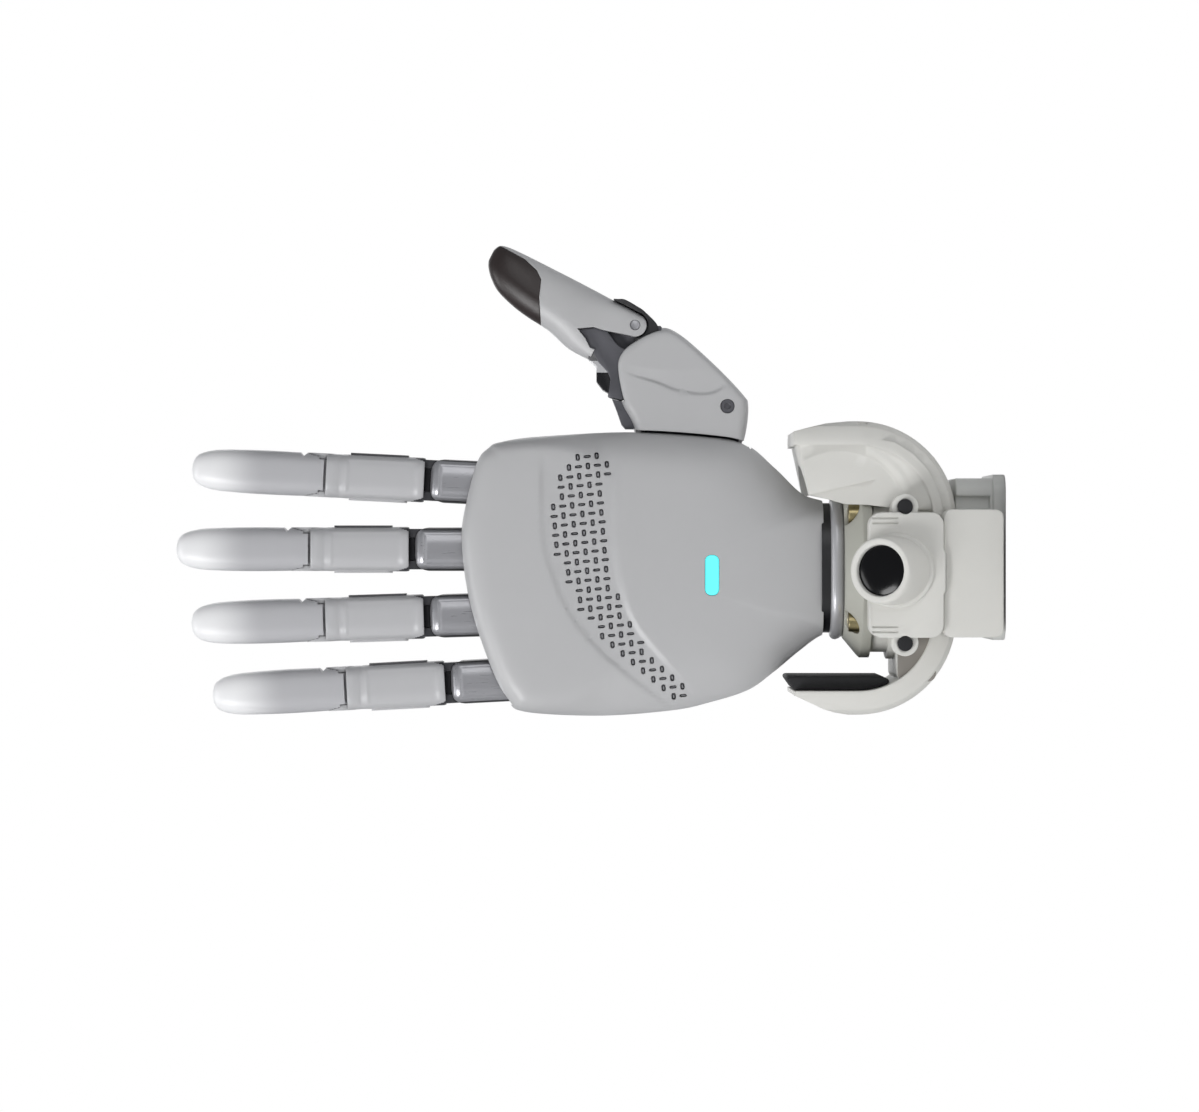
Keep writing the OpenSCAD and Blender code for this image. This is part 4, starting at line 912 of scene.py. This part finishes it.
cover, pins, ledFront = buildCover()
finished(cover, "handShell", "palm_cover")
finished(buildShell(), "handShell", "palm_shell")
finished(buildGrille(pins), "grilleMesh", "sensor_grille")
finished(buildLed(ledFront), "led", "status_led")
print("palm made")


# thumb

def hingeMatrix():
    m = Matrix.Rotation(math.radians(thumbSize["lean"]), 4, "Y")
    m.translation = Vector((thumbSize["hinge"][0], thumbSize["y"], thumbSize["hinge"][1])) * mm
    return m


thumbStations = [  # share of length, outer edge, inner edge, share of width
    [-0.09, 4.2, -16.4, 1], [0.155, 4.1, -16.4, 1], [0.31, 4.3, -16.2, 1], [0.466, 4.4, -14, 0.99],
    [0.62, 4.4, -13.2, 0.97], [0.74, 4.4, -12.1, 0.93], [0.86, 4.3, -10.1, 0.82], [0.935, 4, -7.4, 0.66],
    [0.98, 3.2, -4.8, 0.42], [1, 1.4, -2.8, 0.2],
]
ridgeSize = {"line": [(0, -8.8), (18, -8.6), (30, -6.8), (39.5, -5.2), (51.5, -3.2)], "fall": 0.024,
             "sharpness": 0.8}


def thumbRidge(x, y, z):
    # both flanks fall away from a long ridge
    away = math.hypot(x - readTable(ridgeSize["line"], z), ridgeSize["sharpness"]) - ridgeSize["sharpness"]
    return (x, y * (1 - ridgeSize["fall"] * (0.4 + 0.6 * smoothStep(4, 18, z)) * away), z)


def thumbForm(name):
    t = thumbSize
    rings = []
    for share, outer, inner, wide in smoothRow(thumbStations, 8):
        half, z = t["tipWidth"] / 2 * wide, share * t["tip"]
        ring = sectionRing((outer - inner) / 2, -half, half, z, 5.4 - 2.5 * smoothStep(4, 20, z))
        rings.append([thumbRidge(x + (outer + inner) / 2, y, z) for x, y, z in ring])
    return loft(name, rings)


shellPoints = [(28.8, 23.8), (34, 23.4), (38.4, 19.6), (43, 10.2), (41.4, 3.4), (31.6, -8), (21.8, -17.4),
               (18, -19.2), (9.5, -18.4), (2, -16), (0, 0), (2, 14), (12.6, 18.4), (19.2, 21.8)]
scoopSize = {"depth": 0.9, "rise": 0.9}
scoopUpper = smoothRow([(86, 66.5), (88, 65.4), (93.2, 64.0), (101.2, 63.4), (109.8, 63.6), (117.8, 64.8),
                        (123.5, 66.9)], 6)
scoopLower = smoothRow([(86, 61.8), (90.3, 57.6), (95.5, 56.1), (104.0, 57.3), (109.8, 59.6), (119.5, 62.6),
                        (123.5, 64.6)], 6)


def scoopDepth(x, z):
    # a long scoop: it deepens from its upper line to its lower one and comes up again quickly
    top, low = readTable(scoopUpper, z), readTable(scoopLower, z)
    ends = smoothStep(86, 92, z) * (1 - smoothStep(112, 123, z))
    down = clamp((top - x) / max(0.5, top - low))
    up = 1 - smoothStep(0, scoopSize["rise"], low - x)
    return scoopSize["depth"] * ends * down * up


def shellForm(name, less, steps, count, scoop):
    t = thumbSize
    centre, reach = (t["axleX"] + 24, t["z"] + 2), 21
    outline = [(t["axleX"] + x, t["z"] + z) for x, z in smoothLoop(shellPoints, steps)]
    outline = scaledOutline(outline, centre, 1 - less / reach)
    half = t["shellDepth"] / 2 - less
    back, front = (crownRings(outline, centre, t["y"], h, count, 20, 0.4) for h in (-half, half))
    if scoop:
        back = [[(x, y + scoopDepth(x, z) * smoothStep(0, 4, t["y"] - y), z) for x, y, z in ring]
                for ring in back]
    return loft(name, back[::-1] + front[1:])


def buildThumbShell():
    t, room, big = thumbSize, thumbSize["room"], 120
    half = t["tipWidth"] / 2 + room
    # the room the tip's heel and the cap take as the tip bends
    heel = prism("heel", [(0, 0)] + arc(t["heel"] + 2 * room, *t["heelSweep"], 40), -half, half)
    cap = prism("cap", disc(t["cap"] + room, (0, 0), 72), -half, half)
    for piece in (heel, cap):
        piece.data.transform(hingeMatrix())
    x, z, hx, hz = t["axleX"], t["z"], *t["hinge"]
    sx, sz = x + t["screw"][0], z + t["screw"][1]
    top = z + t["barrelLength"] / 2 - 1.95
    frameRoom = [(x + 14, z + 11), (x + 22, z + 9), (hx - 7, hz - 6), (hx - 3, hz + 2.8),
                 (hx - 0.05, hz - 3.9), (hx - 0.05, hz - 8.2), (hx - 12, hz - 18), (sx + 4, sz - 1.4),
                 (sx - 2, sz - 3), (x + 14, z - 12)]
    root = [(x + 10.7, top), (x + 10.7, z + 20.4), (x + 12, z + 21.6), (x + 16.6, z + 23.2),
            (x + 21.2, z + 25), (x + 24, z + 20), (x + 20, z + 9), (x + 14, z + 10.9), (x + 14, top)]
    palmRoom = scaledOutline(palmOutline(6), palmCentre, 1 + 0.7 / 45)
    inside = shellForm("inside", t["shellWall"], 10, 26, False)
    obj = cut(shellForm("thumbShell", 0, 12, 44, True), inside, heel, cap, barrelRoom(0, above),
              slab(x - 30, x + 0.01, -big, big, 0, above),
              prism("palmRoom", palmRoom, -big, palmSize["seam"] + 0.6),
              prism("screwHole", disc(t["screwHole"], (sx, sz), 40), -big, t["y"]),
              *[prism("slot", outline, t["y"] - h - room / 2, t["y"] + h + room / 2)
                for outline, h in ((frameRoom, t["frame"] / 2), (root, 5))])
    return softShade(obj, 42)


def thumbPadZone(back=0.0):
    row = [(-20, 0.46), (-13, 0.53), (-6, 0.61), (-0.6, 0.65), (1.4, 0.7), (2.9, 0.8), (3.4, 1.1), (-30, 1.1)]
    return prism("padZone", [(x - back, share * thumbSize["tip"] + back) for x, share in row], *through)


def buildThumbTip():
    t = thumbSize
    heelOutline = [(-4.3, -2), (-6.6, 11.5), (-9.4, 16), (-11, 12.4), (-13, 9.6), (-12.4, 0)]
    heel = prism("heel", heelOutline, *through)
    # all below the body's end but the ear that holds the hinge
    ear = arc(3.7, 180, 360, 32) + [(3.95, 4), (4.4, 8)]
    below = prism("below", [(-40, 8), (-6, 8)] + ear + [(30, 8), (30, -40), (-40, -40)], *through)
    half = t["frame"] / 2 + t["room"]
    bore = prism("bore", disc(t["pin"] + 0.05), *through)
    slot = prism("slot", disc(t["plate"] + t["room"], (0, 0), 72), -half, half)
    return softShade(cut(thumbForm("thumbTip"), heel, below, thumbPadZone(), bore, slot), 42)


def buildThumbPad():
    return softShade(combine(thumbForm("thumbPad"), "INTERSECT", thumbPadZone(0.02)), 42)


def buildThumbBone():
    # two leaves that close the gap between the tip and the shell and slide into the shell as the tip bends
    t = thumbSize
    outline = arc(8.4, 205, 146, 10) + [
        (-4.8, 9.2), (-6.9, 11.6), (-9.4, 15.5), (-10.8, 12.5), (-12.8, 9.7), (-14.2, 7.6), (-16, 5),
        (-17.4, 1), (-19, -0.8), (-21.6, -1.7), (-24.2, -2.5), (-24.2, -3.4), (-23.4, -7.2), (-18.2, -9.2),
        (-13.5, -8)]
    first, second = (prism("leaf", outline, *ends) for ends in bothSides(t["leafIn"], t["leafOut"]))
    bridge = [(-13.4, 5), (-16, 3.4), (-16.8, -1), (-13, -2)]
    web = prism("web", bridge, -t["leafIn"] - 0.2, t["leafIn"] + 0.2)
    return rounded(add(first, second, web), 0.3)


# angle round the hinge and radius
capLine = [(-158, 8), (-90, 8), (-69, 7.5), (-50, 6.3), (-35, 5.6), (-17, 5.3), (0, 5.5), (21, 6.1),
           (37.6, 7.4), (50.6, 9.1), (60, 10), (66, 10.9)]
capSteps = 5


def capEdge(less, most=99.0):
    return [(min(most, r - less) * math.cos(math.radians(a)), min(most, r - less) * math.sin(math.radians(a)))
            for a, r in smoothRow(capLine, capSteps)]


def buildThumbCap():
    half, inner = thumbSize["capHalf"], thumbSize["capBore"]
    outline = capEdge(0) + [(inner, 9.4), (inner, 7), (inner, 3)] + arc(inner, 10, -158, 34)
    return rounded(prism("cap", outline, -half, half), 0.3)


lipSize = {"inner": 24.95, "outer": 26.2, "from": 165.4, "to": 176, "half": 5}


def buildThumbFrame():
    # the construction's frame with a plate inside the cap and a lip under the tip's heel
    t, half = thumbSize, thumbSize["frame"] / 2 - 0.02
    outline = capEdge(t["room"], t["plate"])[2 * capSteps:] + arc(t["plate"], 76, 250, 40)
    plate = cut(prism("plate", outline, -half, half), prism("bore", disc(t["pin"] + 0.05), *through))
    plate.data.transform(hingeMatrix())
    p, hinge = lipSize, t["hinge"]
    edge = arc(p["inner"], p["from"], p["to"], 6, hinge) + arc(p["outer"], p["to"], p["from"], 6, hinge)
    lip = prism("lip", edge, t["y"] - p["half"], t["y"] + p["half"])
    return rounded(add(keptShape("thumb_frame"), plate, lip), 0.25)


thumbPieces = [(buildThumbTip, "handShell", "thumb_tip"), (buildThumbPad, "thumbRubber", "thumb_pad"),
               (buildThumbBone, "darkMetal", "thumb_bone"), (buildThumbCap, "blackPlastic", "thumb_cap")]
for build, look, node in thumbPieces:
    piece = build()
    piece.data.transform(hingeMatrix())
    finished(piece, look, node)
finished(buildThumbShell(), "handShell", "thumb_shell")
finished(buildThumbFrame(), "darkMetal", "thumb_frame")
print("thumb made")


# pieces that keep the construction's shape

edgeWidths = {  # how far each piece's edges are rounded; 0 leaves them as they are
    "arm_link": 0.5, "guard_pad": 0.6, "wrist_drum": 0.3, "pod_plugs": 0.3, "palm_frame": 0.2,
    "thumb_barrel": 0.4, "thumb_screw": 0.2, "knuckle_pins": 0.2, "thumb_axle": 0.3, "wrist_bearing": 0,
    "finger_motors": 0, "thumb_motor": 0, "control_board": 0,
    **{f"{finger}_{pin}": 0.2 for finger in fingers for pin in ("middle_pin", "end_pin")},
}
linkTones = {"dark": 62.7, "grey": 66.4}  # x where the link's dark end stops and where its grey end starts


def buildThumbLink():
    obj = keptShape("thumb_link", 0.4)
    for x in linkTones.values():
        splitAt(obj, x)
    maskFaces(obj, lambda c, n: 1.0 if c.x < linkTones["dark"] else 0.75 if c.x > linkTones["grey"] else 0.0)
    return obj


def buildHingePin():
    # the construction's pin, shortened to lie flush in the ears
    obj = keptShape("thumb_hinge_pin", 0.2)
    middle = thumbSize["y"] * mm
    reach = max(abs(v.co.y - middle) for v in obj.data.vertices)
    for v in obj.data.vertices:
        v.co.y = middle + (v.co.y - middle) * (thumbSize["ear"] - 0.1) * mm / reach
    return obj


for node, width in edgeWidths.items():
    finished(keptShape(node, width), camelName(slotOf[node]), node)
finished(keptShape("wrist_flange", 0.4), "flangeGrey", "wrist_flange")
finished(buildThumbLink(), "twoToneLink", "thumb_link")
finished(buildHingePin(), "linkMetal", "thumb_hinge_pin")
print("construction pieces rounded")


# wrist: guard, neck, camera and the cover on the arm

# the last four: how dark the painted shadow on the guard is, the x below which it lies, the y of the face it lies
# on and the z it stays under
wristSize = {
    "flange": 28.8, "collar": 50.8, "room": 0.8, "web": (-25.6, -13), "dishAt": (16, 53),
    "dishStep": (21.2, -24.8), "dishCone": ((20.6, -24.8), (10.5, -22.6)), "tint": 0.8, "tintBelow": -21.5,
    "floor": -23, "tintTop": 40,
}
webOutline = [(40.5, 66), (23, 62.6), (21.6, 56), (20.2, 51), (20, 44), (19, 36), (18.2, 20.1), (24.5, 21.5),
              (30.8, 24.8), (36, 29.5), (39.8, 35.5), (40.5, 40.5)]


def placed(x, y, z, turn=0.0):
    # z of the piece points to the viewer's side, turned up by so many degrees
    m = Matrix.Rotation(math.radians(90 - turn), 4, "X")
    m.translation = Vector((x, y, z)) * mm
    return m


def buildGuard():
    # the construction's guard with a web on the thumb's side, dished in front and clear of the flange
    w = wristSize
    place, fine = placed(w["dishAt"][0], 0, w["dishAt"][1]), 96
    radius, y = w["dishStep"]
    (r0, y0), (r1, y1) = w["dishCone"]
    clear = w["flange"] + w["room"]
    web = cut(prism("web", webOutline, *w["web"]), lathe("step", [(radius, 40), (radius, -y)], place, fine),
              lathe("cone", [(r0 + 6 * (r0 - r1) / (y1 - y0), -y0 + 6), (r0, -y0), (r1, -y1)], place, fine),
              lathe("free", [(clear, 20), (clear, w["collar"] + 0.9), (w["flange"] + 6, 71.7)], count=fine))
    obj = softShade(add(keptShape("wrist_guard", 0.6), web), 36)
    # painted shadow: the front face inside the guard's lower corner is drawn dark taupe
    splitAt(obj, w["tintBelow"])
    maskFaces(obj, lambda c, n: w["tint"] * float(c.x < w["tintBelow"] and n.y < -0.97
                                                  and abs(c.y - w["floor"]) < 0.6 and c.z < w["tintTop"]))
    return obj


neckSize = {  # seal and lip: height and growth of each ring
    "width": 43, "depth": 30, "bore": 6, "sealOpening": (31, 18), "seal": [(54.4, -0.7), (57.9, -0.7)],
    "lip": [(50.8, -0.4), (51.1, 0.5), (51.9, 1.1), (53.0, 1.5), (54.0, 1.3), (54.7, 0.7), (55.0, -0.4)],
}


def buildNeckRing(name, rows, opening):
    n = neckSize
    rings = [[(x, y, z) for x, y in stadium(n["width"] + 2 * g, n["depth"] + 2 * g)] for z, g in rows]
    return cut(loft(name, rings), prism("bore", opening, 0, 100, "xyz"))


barrelSize = {  # radius and height along the tilted barrel
    "at": (-0.7, -40, 37.0), "tilt": 29,
    "wall": [(10.8, -7), (10.8, 2.0), (10.7, 4.0), (10.5, 8.2), (10.35, 8.9), (9.9, 9.4),
             (9.0, 9.5), (8.2, 9.3), (7.95, 8.8), (7.9, 6.4)],
    "base": [(11.8, -1), (11.8, 0.9), (11.5, 1.25), (11.0, 1.4)], "baseZ": 36.0, "baseTop": 44.1,
    "lens": [(7.8, 5.4), (7.8, 8.2), (7.0, 8.5), (5.0, 8.8), (2.5, 8.95)],
}


def buildCamera():
    b = barrelSize
    x, y, z = b["at"]
    place = placed(x, y, z, b["tilt"])
    barrel = cut(lathe("cameraBarrel", b["wall"], place), slab(-30, 30, y + 0.5, 0, 0, 90))
    base = cut(lathe("base", b["base"], placed(x, y, b["baseZ"])), slab(-30, 30, -60, 0, b["baseTop"], 90))
    return softShade(add(barrel, base), 34), lathe("cameraLens", b["lens"], place)


podSize = {"seatX": (-14.3, 13), "seatZ": (19, 46), "faceX": (-13.6, 12.2), "faceZ": (24, 43),
           "faceBack": -32}


def buildPod():
    # the construction's pod with its round seat taken off, as the barrel brings its own
    p, front = podSize, barrelSize["at"][1]
    obj = cut(keptShape("camera_pod"), slab(*p["seatX"], -70, front, *p["seatZ"]))
    return rounded(add(obj, slab(*p["faceX"], front, p["faceBack"], *p["faceZ"])), 0.5)


coverBox = {"x": (-21.7, 18.4), "z": (2.2, 20.9), "front": -38.0, "back": -21.3, "guard": 15.5,
            "guardFront": -26.3, "wall": 2.5, "face": 2.4}


def buildArmCover():
    c = coverBox
    (x0, x1), (z0, z1) = c["x"], c["z"]
    outer = roundedBox(x1 - x0, z1 - z0, 2.6, ((x0 + x1) / 2, (z0 + z1) / 2))
    inner = roundedBox(x1 - x0 - 2 * c["wall"], c["guard"] - z0 - 2 * c["wall"], 1.5,
                       ((x0 + x1) / 2, (z0 + c["guard"]) / 2))
    obj = prism("armCover", outer, c["front"], c["back"])
    cut(obj, slab(-60, 60, c["guardFront"], 0, c["guard"], 60),
        prism("hollow", inner, c["front"] + c["face"], 10))
    return rounded(obj, 1.0, 3)


wristPieces = [
    (buildGuard(), "wristWhite", "wrist_guard"),
    (buildNeckRing("wristCollar", neckSize["lip"], disc(neckSize["bore"])), "brightTrim", "wrist_collar"),
    (buildNeckRing("collarSeal", neckSize["seal"], stadium(*neckSize["sealOpening"])), "blackPlastic",
     "collar_seal"),
    *zip(buildCamera(), ("wristWhite", "lensGlass"), ("camera_barrel", "camera_lens")),
    (buildPod(), "wristWhite", "camera_pod"), (buildArmCover(), "wristWhite", "arm_cover"),
]
for piece, look, node in wristPieces:
    finished(piece, look, node)
print("wrist made")


# flange screws

screwSize = {"count": 4, "radius": 24.2, "z": 46.2, "head": 3.2, "height": 3.7, "shank": 2.0,
             "shankLength": 3.6, "socket": 1.5, "socketFloor": 1.2, "dome": 1.6, "turnEach": 0.4}


def ringTree():
    # stands copies of one piece on a ring, each turned a little further
    tree, given = newGroup("Geometry", "ringOfPieces", [
        ("Piece", "Geometry"), ("Count", "Int", 4), ("Radius", "Float", 0.02), ("Height", "Float", 0.0),
        ("First Angle", "Float", math.pi / 4), ("Turn Each", "Float", 0.4), ("Material", "Material")],
        [("Pieces", "Geometry")])
    circle = addNode(tree, "GeometryNodeMeshCircle", {"Vertices": given["Count"], "Radius": given["Radius"]})
    lift = addNode(tree, "ShaderNodeCombineXYZ", {"Z": given["Height"]})
    spin = addNode(tree, "ShaderNodeCombineXYZ", {"Z": given["First Angle"]})
    place = addNode(tree, "GeometryNodeTransform", {"Geometry": circle, "Translation": lift,
                                                    "Rotation": spin})
    turned = mathNode(tree, "MULTIPLY", addNode(tree, "GeometryNodeInputIndex"), given["Turn Each"])
    angles = addNode(tree, "ShaderNodeCombineXYZ", {"Z": turned})
    return standOnPoints(tree, given, place, given["Piece"], angles)


def buildScrews():
    s = screwSize
    profile = [(0, -s["shankLength"]), (s["shank"], -s["shankLength"]), (s["shank"], 0), (s["head"], 0),
               (s["head"], s["height"] - s["dome"]), (s["head"] - 0.15, s["height"] - 0.2),
               (s["head"] - s["dome"], s["height"]), (0, s["height"])]
    obj = cut(lathe("flangeScrews", profile, count=40),
              prism("socket", disc(s["socket"], (0, 0), 6), s["socketFloor"], 9, "xyz"))
    return cleaned(grown(obj, ringTree(), {
        "Count": s["count"], "Radius": s["radius"] * mm, "Height": s["z"] * mm, "First Angle": math.pi / 4,
        "Turn Each": s["turnEach"], "Material": finishes["brass"]}), 30)


finished(buildScrews(), "brass", "flange_screws")
print("screws made")


# studio

studio = {"floor": (0.86, 0.86, 0.86, 1), "floorSize": 6, "sky": (0.95, 0.97, 1.0, 1), "skyStrength": 0.3}
studioLamps = {  # where each soft lamp stands, its size and its power
    "keyLamp": {"at": (-0.60, -0.80, 0.75), "size": 0.55, "power": 6.9},
    "fillLamp": {"at": (0.6, -1.0, -0.1), "size": 0.9, "power": 3.9},
    "tipLamp": {"at": (-0.25, -0.1, 1.0), "size": 0.5, "power": 2.2},
    "backLamp": {"at": (0.2, 0.9, 0.5), "size": 0.9, "power": 2.4},
}
lampAim = Vector((0, 0, 0.13))
cameraPlace = {"lens": 135.0, "sensor": 36.0, "wide": 383.7, "plane": -6.0, "x": 3.8, "z": 128.7}


def whiteToCamera(tree, lit, kind, output):
    # the camera sees plain white where everything else meets the lit surface or sky
    white = addNode(tree, kind, {"Color": (1, 1, 1, 1)})
    seen = addNode(tree, "ShaderNodeLightPath").outputs["Is Camera Ray"]
    mix = addNode(tree, "ShaderNodeMixShader", {0: seen, 1: lit, 2: white})
    tree.links.new(mix.outputs[0], tree.nodes[output].inputs[0])


def makeFloor():
    bpy.ops.mesh.primitive_plane_add(size=studio["floorSize"], location=(0, 0, 0))
    floor = bpy.context.object
    floor.name = "floor"
    mat = bpy.data.materials.new("paleFloor")
    mat.use_nodes = True
    main = mat.node_tree.nodes["Principled BSDF"]
    main.inputs["Base Color"].default_value = studio["floor"]
    main.inputs["Roughness"].default_value = 0.9
    whiteToCamera(mat.node_tree, main, "ShaderNodeEmission", "Material Output")
    floor.data.materials.append(mat)


def makeWorld():
    world = bpy.data.worlds.new("studio")
    bpy.context.scene.world = world
    world.use_nodes = True
    light = world.node_tree.nodes["Background"]
    light.inputs["Color"].default_value = studio["sky"]
    light.inputs["Strength"].default_value = studio["skyStrength"]
    whiteToCamera(world.node_tree, light, "ShaderNodeBackground", "World Output")


def makeLamps():
    for name, lamp in studioLamps.items():
        data = bpy.data.lights.new(name, "AREA")
        data.shape = "DISK"
        data.size = lamp["size"]
        data.energy = lamp["power"]
        obj = addObject(name, data)
        obj.location = lamp["at"]
        obj.rotation_mode = "QUATERNION"
        obj.rotation_quaternion = (lampAim - Vector(lamp["at"])).to_track_quat("-Z", "Y")


def makeCamera():
    c = cameraPlace
    data = bpy.data.cameras.new("camera")
    data.lens = c["lens"]
    data.sensor_width = c["sensor"]
    data.clip_start, data.clip_end = 0.05, 20
    obj = addObject("camera", data)
    right, up, back = Vector((0, 0, -1)), Vector((1, 0, 0)), Vector((0, -1, 0))
    m = Matrix((right, up, back)).transposed().to_4x4()
    m.translation = Vector((c["x"], c["plane"] - c["wide"] * c["lens"] / c["sensor"], c["z"])) * mm
    obj.matrix_world = m
    bpy.context.scene.camera = obj


makeFloor()
makeWorld()
makeLamps()
makeCamera()
bpy.context.scene.view_settings.view_transform = "Standard"
print("studio made")
